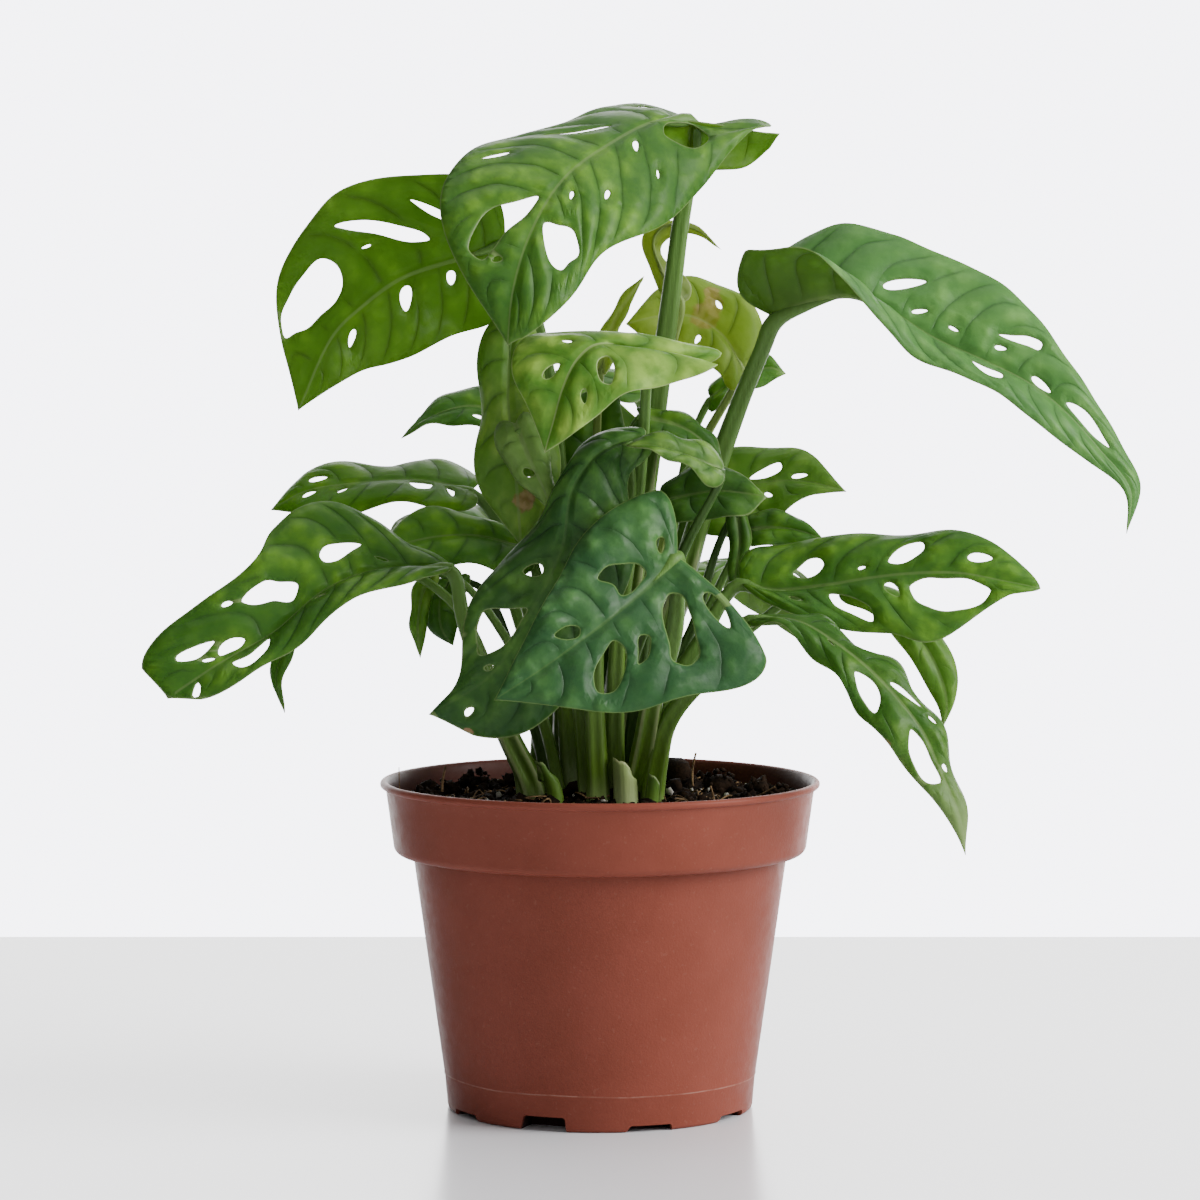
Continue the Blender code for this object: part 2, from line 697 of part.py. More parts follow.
        "leaf_back_right",
        foot=(12, 26),
        petiole=((20, 42, 112), (28, 54, 134)),
        midrib=((32, 60, 146), (38, 72, 150), (48, 90, 145), (56, 104, 134), (60, 112, 124)),
        left=((-12, 6, -2), (-14, 8, -5), (-6, 4, -4)),
        right=((13, -5, -2), (15, -6, -6), (7, -3, -4)),
        holes=(
            (0.24, 0.25, 0.4, 0.66, 5),
            (0.24, -0.25, 0.42, -0.7, 5),
            (0.48, 0.22, 0.62, 0.62, 4),
            (0.5, -0.24, 0.64, -0.62, 4.4),
            (0.1, 0.3, 0.13, 0.5, 2.4),
        ),
        lobes=(6, 6),
        stem=2.3,
    ),
)


@dataclass
class Stub:
    """A short old stem: its place in the soil, its top and its radius."""

    name: str
    foot: tuple
    top: tuple
    radius: float


STUBS = (
    Stub("stem_stub_front", (7, -16.3), (6, -17.5, 99), 3.2),
    Stub("stem_stub_left", (-12, -15), (-16, -17, 98), 2.0),
    Stub("stem_stub_right", (14, -17.5), (14.6, -18.3, 94), 1.8),
)


def from_front(point):
    """Moves a point that is read in the plane of the pot's axis along the line of sight to its depth."""
    x, y, z = point
    spread = (EYE_DISTANCE + y) / EYE_DISTANCE
    return np.array((x * spread, y, EYE_HEIGHT + (z - EYE_HEIGHT) * spread))


def smooth_values(knots, values, wanted):
    """Reads a smooth curve through the values at the wanted places, held level past its ends."""
    slopes = np.gradient(values, knots, axis=0)
    wanted = np.clip(wanted, knots[0], knots[-1])
    start = np.clip(np.searchsorted(knots, wanted, side="right") - 1, 0, len(knots) - 2)
    span = (knots[start + 1] - knots[start])[:, None]
    t = (wanted - knots[start])[:, None] / span
    near = (2 * t**3 - 3 * t**2 + 1) * values[start] + (t**3 - 2 * t**2 + t) * span * slopes[start]
    far = (3 * t**2 - 2 * t**3) * values[start + 1] + (t**3 - t**2) * span * slopes[start + 1]
    return near + far


def smooth_path(points, wanted):
    """Reads a smooth curve through the points at the wanted shares of its length."""
    points = np.array(points, dtype=float)
    knots = np.concatenate(([0.0], np.cumsum(np.linalg.norm(np.diff(points, axis=0), axis=1) ** 0.5)))
    curve = smooth_values(knots, points, np.linspace(0.0, knots[-1], 12 * len(points)))
    run = np.concatenate(([0.0], np.cumsum(np.linalg.norm(np.diff(curve, axis=0), axis=1))))
    return along(run / run[-1], curve, wanted)


def along(places, values, wanted):
    """Reads a row of vectors at the wanted places."""
    return np.stack([np.interp(wanted, places, values[:, axis]) for axis in range(3)], axis=-1)


def unit(vectors):
    return vectors / np.linalg.norm(vectors, axis=-1, keepdims=True)


class Blade:
    """The curved surface of a leaf. u runs along the midrib from 0 to 1 and v across it from -1 to 1."""

    def __init__(self, leaf):
        self.leaf = leaf
        self.places = np.linspace(0.0, 1.0, 61)
        self.spine = smooth_path([from_front(point) for point in leaf.midrib], self.places)
        self.ahead = unit(np.gradient(self.spine, axis=0))
        self.length = np.linalg.norm(np.diff(self.spine, axis=0), axis=1).sum()
        self.stations = np.array(COARSE_STATIONS if len(leaf.left) == 3 else FINE_STATIONS)
        shares = self.fullness(self.stations)[:, None]
        self.left, self.right = np.array(leaf.left) / shares, np.array(leaf.right) / shares
        self.left_width = np.linalg.norm(self.left, axis=1).mean()
        self.right_width = np.linalg.norm(self.right, axis=1).mean()

    def fullness(self, u):
        """The width at u as a share of the widest."""
        leaf = self.leaf
        tail = leaf.full * (1 - leaf.peak) / leaf.peak
        return (u / leaf.peak) ** leaf.full * ((1 - u) / (1 - leaf.peak)) ** tail

    def sweep(self, u, v):
        """How far the margin beside u is swept back towards the petiole, which makes the basal lobes."""
        peak = LOBE_START / (LOBE_START + LOBE_END)
        lobe = np.where(v >= 0, *self.leaf.lobes)
        return lobe * (u / peak) ** LOBE_START * ((1 - u) / (1 - peak)) ** LOBE_END * v**2

    def across(self, u, v):
        left, right = (smooth_values(self.stations, side, u) for side in (self.left, self.right))
        return np.where(v[:, None] >= 0, left, right)

    def up_at_midrib(self, u):
        """The way that the upper side faces along the midrib, halfway between its two halves."""
        ahead = along(self.places, self.ahead, u)
        left, right = self.across(u, u * 0 + 1), self.across(u, u * 0 - 1)
        return unit(unit(np.cross(ahead, left)) + unit(np.cross(right, ahead)))

    def point(self, u, v):
        u, v = np.asarray(u, dtype=float), np.asarray(v, dtype=float)
        leaf, edge = self.leaf, np.abs(v)
        ahead, across = along(self.places, self.ahead, u), self.across(u, v)
        up = unit(np.cross(ahead, across)) * np.where(v >= 0, 1.0, -1.0)[:, None]
        full = self.fullness(u)
        ripple = np.sin(math.tau * leaf.waves * u + 2.0 * np.sign(v)) * edge**2
        rise = (4 * leaf.arch * edge * (1 - edge) + leaf.wave * ripple) * full
        flat = along(self.places, self.spine, u) + across * (full * edge)[:, None]
        return flat - ahead * self.sweep(u, v)[:, None] + up * rise[:, None]

    def to_flat(self, u, v):
        """Lays the surface out flat, in millimetres along and across the midrib."""
        width = np.where(v >= 0, self.left_width, self.right_width)
        return np.stack([self.length * u - self.sweep(u, v), v * self.fullness(u) * width], axis=-1)

    def from_flat(self, flat):
        """Finds u and v of points on the flat layout, away from the base and the tip."""
        x, y = flat[:, 0], flat[:, 1]
        width = np.where(y >= 0, self.left_width, self.right_width)
        u, v = np.clip(x / self.length, 0.05, 0.97), np.zeros(len(x))
        for _ in range(40):
            v = np.clip(y / (width * self.fullness(u)), -1.0, 1.0)
            u = 0.5 * u + 0.5 * np.clip((x + self.sweep(u, v)) / self.length, 0.02, 0.98)
        return u, v


def closed_curve(points, count):
    """Reads a smooth closed curve through the points at even steps."""
    ring = np.concatenate([points[-3:], points, points[:4]])
    knots = np.concatenate(([0.0], np.cumsum(np.linalg.norm(np.diff(ring, axis=0), axis=1))))
    return smooth_values(knots, ring, np.linspace(knots[3], knots[3 + len(points)], count, endpoint=False))


def margin_loop(blade, count):
    """Walks the margin from the base along the left side to the tip and back along the right side."""
    u = np.linspace(0.0, 1.0, count + 2) ** MARGIN_CROWDING
    side = np.concatenate((np.ones(len(u)), -np.ones(len(u) - 2)))
    return np.concatenate((u, u[-2:0:-1])), side


def hole_loop(blade, hole, count):
    """Walks the edge of one hole on the flat layout. It is blunt near the midrib and narrower outside."""
    ends = blade.to_flat(np.array(hole[0:3:2]), np.array(hole[1:4:2]))
    half = (ends[1] - ends[0]) / 2
    aside = unit(np.array((-half[1], half[0]))) * hole[4] / 2
    turn = np.linspace(0.0, math.tau, count, endpoint=False)
    swell = np.sin(turn) * (1 - HOLE_TAPER * np.cos(turn))
    return ends.mean(axis=0) + np.cos(turn)[:, None] * half + swell[:, None] * aside


def cut_loop(blade, cut, count):
    """Walks the edge of one uneven hole on the flat layout."""
    return closed_curve(blade.to_flat(*np.array(cut).T), count)


def midrib_places(blade):
    """Places along the midrib between the base and the tip."""
    count = max(3, round(blade.length / BLADE_STEP))
    u = np.linspace(0.0, 1.0, count + 1)[1:-1]
    return np.stack([u, np.zeros(len(u))], axis=-1)


def field_places(blade, loops):
    """Places spread over both halves of the blade, clear of the margin and of the holes."""
    count = max(3, round(blade.length / BLADE_STEP))
    places = []
    for u in np.linspace(0.0, 1.0, count + 1)[1:-1]:
        for side, width in ((1, blade.left_width), (-1, blade.right_width)):
            columns = max(1, round(width * blade.fullness(u) / BLADE_STEP))
            places += [(u, side * column / columns) for column in range(1, columns)]
    if not places:
        return np.zeros((0, 2))
    places = np.array(places)
    flat = blade.to_flat(places[:, 0], places[:, 1])
    clear = [far_from(point, loops) and not any(holds(loop, point) for loop in loops[1:]) for point in flat]
    return places[clear]


def far_from(point, loops):
    """Tells whether a point keeps a third of a mesh step from the corners of every loop."""
    return all(np.linalg.norm(loop - point, axis=1).min() > LEAST_SPACING for loop in loops)


def holds(loop, point):
    """Tells whether a closed loop has the point inside it."""
    x, y = point
    x0, y0 = loop[:, 0], loop[:, 1]
    x1, y1 = np.roll(x0, -1), np.roll(y0, -1)
    crosses = (y0 > y) != (y1 > y)
    rise = np.where(crosses, y1 - y0, 1.0)
    return np.count_nonzero(crosses & (x < x0 + (y - y0) * (x1 - x0) / rise)) % 2 == 1


def closed_edges(first, count):
    return [(first + index, first + (index + 1) % count) for index in range(count)]


def blade_triangles(blade):
    """Splits the perforated blade into triangles. Gives their corners' places and the corner numbers."""
    count = int(np.clip(blade.length / MARGIN_STEP, *MARGIN_POINTS))
    margin_u, margin_v = margin_loop(blade, count)
    loops = [blade.to_flat(margin_u, margin_v)]
    loops += [hole_loop(blade, hole, HOLE_POINTS) for hole in blade.leaf.holes]
    loops += [cut_loop(blade, cut, len(cut)) for cut in blade.leaf.cuts]
    rib = midrib_places(blade)
    field = field_places(blade, loops)
    flat = np.concatenate([*loops, *(blade.to_flat(spots[:, 0], spots[:, 1]) for spots in (rib, field))])
    edges, first = [], 0
    for loop in loops:
        edges += closed_edges(first, len(loop))
        first += len(loop)
    chain = [0, *range(first, first + len(rib)), count + 1]
    edges += list(zip(chain, chain[1:]))
    corners, _, faces, origins, _, _ = delaunay_2d_cdt([Vector(point) for point in flat], edges, [], 1, 1e-4)
    known = {index: (u, v) for index, (u, v) in enumerate(zip(margin_u, margin_v))}
    known.update({first + index: tuple(place) for index, place in enumerate(np.concatenate([rib, field]))})
    corners = np.array([tuple(corner) for corner in corners])
    found_u, found_v = blade.from_flat(corners)
    places = [
        next((known[origin] for origin in origins[index] if origin in known), (u, v))
        for index, (u, v) in enumerate(zip(found_u, found_v))
    ]
    kept = [face for face in faces if not any(holds(loop, corners[face].mean(axis=0)) for loop in loops[1:])]
    used, renumbered = np.unique(np.array(kept), return_inverse=True)
    return np.array(places)[used], renumbered.reshape(-1, 3)


def thicken(points, faces, thickness):
    """Gives a sheet of triangles two faces and an edge all round."""
    corners = points[faces]
    normals = np.cross(corners[:, 1] - corners[:, 0], corners[:, 2] - corners[:, 0])
    lean = np.zeros_like(points)
    for place in range(3):
        np.add.at(lean, faces[:, place], normals)
    lean = unit(lean) * thickness / 2
    count = len(points)
    solid = [tuple(face) for face in faces]
    solid += [tuple(count + corner for corner in face[::-1]) for face in faces]
    ways = {(face[i], face[(i + 1) % 3]) for face in faces for i in range(3)}
    for a, b in sorted(ways):
        if (b, a) not in ways:
            solid += [(b, a, a + count), (b, a + count, b + count)]
    return np.concatenate([points + lean, points - lean]), solid


def blade_solid(blade):
    places, faces = blade_triangles(blade)
    return thicken(blade.point(places[:, 0], places[:, 1]), faces, BLADE_THICKNESS)


def tube(path, radii, sides):
    """Sweeps a polygon along a path and closes both ends."""
    ahead = unit(np.gradient(path, axis=0))
    side = unit(np.cross(ahead[0], (0.0, 1.0, 0.0)))
    turn = np.linspace(0.0, math.tau, sides, endpoint=False)
    rings = []
    for point, way, radius in zip(path, ahead, radii):
        side = unit(side - way * np.dot(side, way))
        other = np.cross(way, side)
        rings.append(point + radius * (np.cos(turn)[:, None] * side + np.sin(turn)[:, None] * other))
    faces = [tuple(reversed(range(sides)))]
    for start in range(0, sides * (len(path) - 1), sides):
        for a, b in closed_edges(start, sides):
            faces.append((a, b, b + sides, a + sides))
    last = sides * (len(path) - 1)
    faces.append(tuple(range(last, last + sides)))
    return np.concatenate(rings), faces


def rib_path(blade, start, neck):
    """The line just under the start of the midrib, or one point where the blade hangs back by its petiole."""
    shares = np.array((0.0, RIB_SHARE / 2, RIB_SHARE))
    sink = np.linspace(neck * RIB_SINK, RIB_END_SINK, 3)[:, None]
    under = blade.point(shares, np.zeros(3)) - blade.up_at_midrib(shares) * sink
    if np.dot(unit(under[0] - start), unit(under[2] - under[0])) > SHARPEST_TURN:
        return list(under)
    return [blade.point((HANGING_SHARE,), (0.0,))[0]]


def petiole_solid(leaf, blade):
    """The stalk from its hole in the soil to the blade, which runs on under the start of the midrib."""
    x, y = leaf.foot
    neck = leaf.stem * NECK_SHARE
    heights = (SOIL_LEVEL - ROOT_DEPTH + GAP, SOIL_LEVEL - FOOT_SUNK, SOIL_LEVEL + FOOT_STRAIGHT)
    points = [np.array((x, y, z)) for z in heights]
    points += [from_front(point) for point in leaf.petiole]
    rib = rib_path(blade, points[-1], neck)
    points += rib
    shares = np.cumsum(np.linalg.norm(np.diff(np.array(points), axis=0), axis=1))
    shares /= shares[-1]
    foot, joint = shares[1], shares[-len(rib)]
    wanted = np.concatenate(((0.0,), np.linspace(foot, joint, STALK_RINGS)))
    radii = np.interp(wanted, (0.0, foot, joint), (leaf.stem, leaf.stem, neck))
    if len(rib) > 1:
        wanted = np.concatenate((wanted, np.linspace(joint, 1.0, RIB_RINGS)[1:]))
        radii = np.concatenate((radii, np.linspace(neck, RIB_END_RADIUS, RIB_RINGS)[1:]))
    return tube(smooth_path(points, wanted), radii, PETIOLE_SIDES)


def lathe(profile, steps):
    """Turns a profile of radius and height, which starts and ends on the axis, into a closed solid."""
    turn = np.linspace(0.0, math.tau, steps, endpoint=False)
    around = np.stack([np.cos(turn), np.sin(turn), np.zeros(steps)], axis=-1)
    rings = [around * radius + (0.0, 0.0, height) for radius, height in profile[1:-1]]
    points = np.concatenate([[(0.0, 0.0, profile[0][1])], *rings, [(0.0, 0.0, profile[-1][1])]])
    faces = [(0, 1 + b, 1 + a) for a, b in closed_edges(0, steps)]
    for ring in range(len(rings) - 1):
        start = 1 + ring * steps
        faces += [(a, b, b + steps, a + steps) for a, b in closed_edges(start, steps)]
    end = len(points) - 1
    faces += [(a, b, end) for a, b in closed_edges(end - steps, steps)]
    return points, faces


def inner_wall(clearance):
    """The inside of the pot from the floor to the lip, drawn inwards by a clearance."""
    low = POT_HEIGHT - BAND_HEIGHT
    step = low + 2 * WALL + clearance
    return [
        (BENCH_INNER_RADIUS - 0.6 - clearance, FLOOR + clearance),
        (BENCH_INNER_RADIUS - clearance, BENCH_HEIGHT + clearance),
        (BASE_RADIUS - WALL - 0.4 - clearance, BENCH_HEIGHT + clearance),
        (BODY_LOW_RADIUS - WALL - clearance, BODY_LOW_HEIGHT),
        (BODY_TOP_RADIUS - WALL - clearance, step),
        (BAND_LOW_RADIUS - BAND_ROUNDING - clearance, step),
        (BAND_LOW_RADIUS - WALL - clearance, step + WALL),
    ]


def band_inside(height):
    """The inner radius of the pot's band at a height."""
    low, high = POT_HEIGHT - BAND_HEIGHT, POT_HEIGHT - LIP_HEIGHT
    share = (height - low) / (high - low)
    return BAND_LOW_RADIUS + (BAND_TOP_RADIUS - BAND_LOW_RADIUS) * share - WALL


def pot_solid():
    low, lip = POT_HEIGHT - BAND_HEIGHT, POT_HEIGHT - LIP_HEIGHT
    outside = [
        (0.0, 0.0),
        (BASE_RADIUS - 0.8, 0.0),
        (BASE_RADIUS, 0.9),
        (BODY_LOW_RADIUS, BODY_LOW_HEIGHT),
        (BODY_TOP_RADIUS, low + WALL),
        (BAND_LOW_RADIUS - BAND_ROUNDING, low),
        (BAND_LOW_RADIUS - 0.5, low + 0.7),
        (BAND_LOW_RADIUS, low + BAND_ROUNDING),
        (BAND_TOP_RADIUS, lip),
        (LIP_RADIUS - 0.3, lip + 0.2),
        (LIP_RADIUS, lip + 0.8),
        (LIP_RADIUS - 0.3, POT_HEIGHT - 0.3),
        (LIP_RADIUS - 1.0, POT_HEIGHT),
        (LIP_RADIUS - 1.9, POT_HEIGHT - 0.2),
        (band_inside(lip), lip),
    ]
    return lathe(outside + inner_wall(0.0)[::-1] + [(0.0, FLOOR)], POT_STEPS)


def soil_height(x, y):
    """The lumpy surface of the soil, which rises a little around the stems."""
    mound = MOUND_HEIGHT * max(0.0, 1 - (math.hypot(x, y) / MOUND_RADIUS) ** 2)
    lumps = math.sin(x * 0.31 + 1.7) * math.sin(y * 0.27 + 0.4) + 0.6 * math.sin(x * 0.17 - y * 0.23)
    return SOIL_LEVEL + mound + LUMP_HEIGHT * lumps


def soil_solid():
    edge = band_inside(SOIL_LEVEL) - 2 * GAP
    profile = [(0.0, FLOOR + GAP), *inner_wall(GAP), (edge, SOIL_LEVEL)]
    profile += [(radius, SOIL_LEVEL) for radius in reversed(SOIL_RINGS)] + [(0.0, SOIL_LEVEL)]
    points, faces = lathe(profile, SOIL_STEPS)
    for point in points:
        if point[2] == SOIL_LEVEL:
            point[2] = soil_height(point[0], point[1])
    return points, faces


def join_solids(solids):
    """Puts separate solids in one mesh."""
    points, faces, first = [], [], 0
    for part_points, part_faces in solids:
        points.append(part_points)
        faces += [tuple(first + corner for corner in face) for face in part_faces]
        first += len(part_points)
    return np.concatenate(points), faces


def rod(x, y, low, high, radius, steps):
    return tube(np.array([(x, y, low), (x, y, high)]), (radius, radius), steps)


def stem_holes():
    stems = [(*leaf.foot, leaf.stem) for leaf in LEAVES] + [(*stub.foot, stub.radius) for stub in STUBS]
    low, high = SOIL_LEVEL - ROOT_DEPTH, SOIL_LEVEL + 10.0
    return join_solids([rod(x, y, low, high, radius + HOLE_CLEARANCE, HOLE_STEPS) for x, y, radius in stems])


def notch_box(turn, notch_height):
    """One notch in the foot of the pot, turned about the pot's axis."""
    out = np.array((math.cos(turn), math.sin(turn), 0.0))
    along_rim = np.array((-math.sin(turn), math.cos(turn), 0.0))
    corners = []
    for height in (-1.0, notch_height):
        for reach, side in ((-NOTCH_DEPTH, -1), (2.0, -1), (2.0, 1), (-NOTCH_DEPTH, 1)):
            corner = out * (BASE_RADIUS + reach) + along_rim * side * NOTCH_WIDTH / 2
            corners.append(corner + np.array((0.0, 0.0, height)))
    faces = [(3, 2, 1, 0), (4, 5, 6, 7), (0, 1, 5, 4), (1, 2, 6, 5), (2, 3, 7, 6), (3, 0, 4, 7)]
    return np.array(corners), faces


def notch_turns():
    count = len(NOTCH_HEIGHTS)
    return [math.radians(FIRST_NOTCH_DEG + 360 * index / count) for index in range(count)]


def drain_rod(turn, notch_height):
    radius = BASE_RADIUS - NOTCH_DEPTH / 2
    x, y = radius * math.cos(turn), radius * math.sin(turn)
    return rod(x, y, notch_height - 1.0, BENCH_HEIGHT + 1.0, DRAIN_RADIUS, DRAIN_STEPS)


def stub_solid(stub):
    """A short old stem that stands in the soil and leans over at its top."""
    x, y = stub.foot
    points = [(x, y, SOIL_LEVEL - ROOT_DEPTH + GAP), (x, y, SOIL_LEVEL + 3.0), stub.top]
    wanted = np.linspace(0.0, 1.0, 6)
    radii = np.interp(wanted, (0.0, 0.6, 1.0), (stub.radius, stub.radius, stub.radius * STUB_TOP_SHARE))
    return tube(smooth_path(points, wanted), radii, PETIOLE_SIDES)


def make_material(name, colour, roughness):
    material = bpy.data.materials.new(name)
    material.use_nodes = True
    shader = material.node_tree.nodes["Principled BSDF"]
    shader.inputs["Base Color"].default_value = (*colour, 1.0)
    shader.inputs["Roughness"].default_value = roughness
    return material


def make_object(name, solid, collection, colour=SOIL_COLOUR, roughness=0.6, smooth=True):
    points, faces = solid
    mesh = bpy.data.meshes.new(name)
    mesh.from_pydata((np.array(points) * MM).tolist(), [], faces)
    mesh.polygons.foreach_set("use_smooth", [smooth] * len(mesh.polygons))
    mesh.materials.append(make_material(name, colour, roughness))
    thing = bpy.data.objects.new(name, mesh)
    collection.objects.link(thing)
    return thing


def make_cutter(name, solid, collection):
    cutter = make_object(name, solid, collection)
    cutter.hide_render = True
    cutter.display_type = "WIRE"
    return cutter


def join_or_cut(thing, other, operation):
    change = thing.modifiers.new(other.name, "BOOLEAN")
    change.operation = operation
    change.solver = "EXACT"
    change.object = other


def build():
    for thing in list(bpy.data.objects):
        bpy.data.objects.remove(thing)
    plant = bpy.data.collections.new("potted_swiss_cheese_vine")
    cutters = bpy.data.collections.new("cutters")
    for collection in (plant, cutters):
        bpy.context.scene.collection.children.link(collection)

    pot = make_object("pot", pot_solid(), plant, POT_COLOUR, 0.4)
    turns = notch_turns()
    for name, shape in (("pot_notches", notch_box), ("pot_drains", drain_rod)):
        cutter = make_cutter(name, join_solids([shape(turn, height) for turn, height in zip(turns, NOTCH_HEIGHTS)]), cutters)
        join_or_cut(pot, cutter, "DIFFERENCE")

    soil = make_object("soil", soil_solid(), plant, SOIL_COLOUR, 0.95)
    join_or_cut(soil, make_cutter("stem_holes", stem_holes(), cutters), "DIFFERENCE")

    for leaf in LEAVES:
        blade = Blade(leaf)
        thing = make_object(leaf.name, blade_solid(blade), plant, LEAF_COLOUR, 0.4)
        stalk = make_cutter(leaf.name + "_petiole", petiole_solid(leaf, blade), cutters)
        join_or_cut(thing, stalk, "UNION")
    for stub in STUBS:
        make_object(stub.name, stub_solid(stub), plant, STUB_COLOUR, 0.5)


if __name__ == "__main__":
    build()
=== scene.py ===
"""The looks of the potted swiss cheese vine: fine leaves, stalks, soil, pot, table, light and camera.

Sizes below are in millimetres and become metres when a mesh is made. The pot stands on its base at the
origin, +Z is up, +X is to the right and the photo looks along +Y.
"""

import math
from dataclasses import dataclass

import bmesh
import bpy
import numpy as np
from mathutils import Matrix, Vector
from mathutils.geometry import delaunay_2d_cdt


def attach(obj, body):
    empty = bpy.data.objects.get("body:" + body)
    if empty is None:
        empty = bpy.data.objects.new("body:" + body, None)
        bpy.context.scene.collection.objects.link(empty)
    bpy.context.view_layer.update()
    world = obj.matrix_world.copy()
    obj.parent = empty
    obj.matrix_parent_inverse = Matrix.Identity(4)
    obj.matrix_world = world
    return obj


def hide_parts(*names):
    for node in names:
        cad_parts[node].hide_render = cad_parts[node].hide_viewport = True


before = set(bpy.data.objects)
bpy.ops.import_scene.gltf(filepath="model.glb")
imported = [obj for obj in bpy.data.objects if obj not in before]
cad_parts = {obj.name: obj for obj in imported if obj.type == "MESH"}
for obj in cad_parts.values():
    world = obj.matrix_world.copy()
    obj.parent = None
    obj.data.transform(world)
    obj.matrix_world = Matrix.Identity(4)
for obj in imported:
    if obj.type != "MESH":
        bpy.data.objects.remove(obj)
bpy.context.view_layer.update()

MM = 0.001
ROOT = "root"

# Pot
LIP_RADIUS = 60.0
POT_HEIGHT = 90.0
LIP_HEIGHT = 2.2
BAND_TOP_RADIUS = 58.5
BAND_LOW_RADIUS = 56.4
BAND_HEIGHT = 20.0
BAND_ROUNDING = 2.4
BODY_TOP_RADIUS = 51.0
BODY_LOW_RADIUS = 42.6
BODY_LOW_HEIGHT = 9.0
BODY_STEP_HEIGHT = 1.2
BASE_RADIUS = 41.8
FOOT_ROUNDING = 1.2
WALL = 1.2
FLOOR = 1.5
BENCH_HEIGHT = 5.0
BENCH_INNER_RADIUS = 29.0
POT_STEPS = 144
SHARP_DEG = 38
NOTCH_HEIGHTS = (4.0, 1.8, 1.8) * 3
FIRST_NOTCH_DEG = -111.0
NOTCH_WIDTH = 12.0
NOTCH_DEPTH = 9.0
NOTCH_ROUNDING = 0.8
MOULD_LINE_HEIGHT = 9.8
MOULD_TICK = (29.3, -29.6, 11.2)
PLASTIC = ((0.168, 0.042, 0.026), (0.187, 0.048, 0.031))
PLASTIC_SPECKLE = (0.23, 0.085, 0.06)
PLASTIC_DUST = (0.3, 0.17, 0.13)
PLASTIC_SCRATCH = (0.34, 0.18, 0.14)
# Painted shade on the inside of the wall above the soil
PLASTIC_PAINTED_SHADE_INSIDE = (0.05, 0.018, 0.013)
# Painted shade under the foot and in its notches
PLASTIC_PAINTED_SHADE_UNDER = (0.02, 0.008, 0.006)
PLASTIC_GLOSS = 0.09

# Soil. Clumps are x, y, size and lift, the big grain is x, y and lift, and sprigs are fibres that stick out,
# with start, end and radius. Finishes are name, dark and light colour, scale of the grain and roughness.
SOIL_SEED = 7
SOIL_LEVEL = 84.0
SOIL_STEPS = 150
SOIL_RINGS = 40
MOUND_HEIGHT = 2.6
MOUND_RADIUS = 30.0
SOIL_GAP = 0.4
CRUMBS, CRUMBS_ON_A_CLUMP, GRAINS, FIBRES = 2200, 26, 70, 190
SMALLEST_CRUMB, LARGEST_CRUMB, CRUMB_SPREAD = 0.4, 3.0, 0.5
CLUMPS = (
    (-42, 8, 3.5, 1.0), (-34, 20, 4.5, 1.5), (-24, 28, 3.5, 1.0), (-48, -8, 3.0, 0.8), (-36, -24, 3.0, 0.6),
    (22, 26, 4.5, 2.0), (33, 18, 4.5, 1.6), (44, 10, 4.0, 1.5), (49, -6, 3.5, 1.0), (38, -20, 3.5, 0.8),
    (14, 36, 4.0, 1.6), (-8, 38, 4.0, 1.2), (28, -30, 3.0, 0.6), (-20, -34, 3.0, 0.5), (0, -40, 2.6, 0.4),
)
BIG_GRAIN = (18.9, -8.0, 3.0)
SPRIGS = (
    ((-53.5, -22.0, 86.0), (-53.9, -22.0, 95.5), 0.13), ((-43.0, -5.0, 87.0), (-42.0, -6.0, 94.0), 0.35),
    ((25.4, 0.0, 88.0), (26.2, 1.0, 97.0), 0.3), ((31.0, -35.0, 85.0), (29.3, -37.0, 92.0), 0.3),
    ((-22.0, -40.0, 85.0), (-6.0, -44.0, 87.0), 0.22), ((-9.0, -44.0, 85.5), (8.0, -40.0, 86.5), 0.25),
    ((-36.0, -22.0, 86.0), (-29.0, -30.0, 90.0), 0.2), ((40.0, -16.0, 86.0), (47.0, -20.0, 90.0), 0.22),
)
SOIL_FINISHES = (
    ("dark_peat", (0.003, 0.0019, 0.0012), (0.014, 0.008, 0.0048), 700.0, 0.9),
    ("peat_crumbs", (0.0025, 0.0016, 0.001), (0.021, 0.012, 0.007), 260.0, 0.9),
    ("perlite", (0.26, 0.24, 0.2), (0.42, 0.4, 0.36), 1200.0, 0.8),
    ("root_fibre", (0.06, 0.034, 0.015), (0.22, 0.14, 0.07), 300.0, 0.7),
)
GRAIN_GLOSS = 0.05

# Foliage
EYE_DISTANCE = 1212.0
EYE_HEIGHT = 222.0
ROOT_DEPTH = 7.0
FOOT_STRAIGHT = 3.5
NECK_SHARE = 0.62
RIB_SHARE = 0.16
RIB_SINK = 0.6
RIB_END_SINK = 0.3
SHARPEST_TURN = -0.2
HANGING_SHARE = 0.06
LOBE_START, LOBE_END = 0.6, 6.0
COARSE_STATIONS = (0.1, 0.45, 0.8)
FINE_STATIONS = (0.1, 0.3, 0.5, 0.7, 0.9)
HOLE_TAPER = 0.25

# Fine relief of the blades
BLADE_STEP = 1.5
MARGIN_STEP = 1.3
HOLE_STEP = 0.9
RIM_CLEARANCE = 0.55
BESIDE_MIDRIB = (0.5, 1.1)
VEIN_SPACING = 9.5
VEIN_LEAN, VEIN_CURVE, VEIN_STAGGER = 0.02, 0.13, 0.25
EDGE_THICKNESS = 0.25
MIDDLE_THICKNESS = 0.5
THICK_FROM_EDGE = 1.6
PUFF = 0.75
SWELL = 0.35
MIDRIB_RIDGE = 1.1
MIDRIB_GROOVE = 0.3

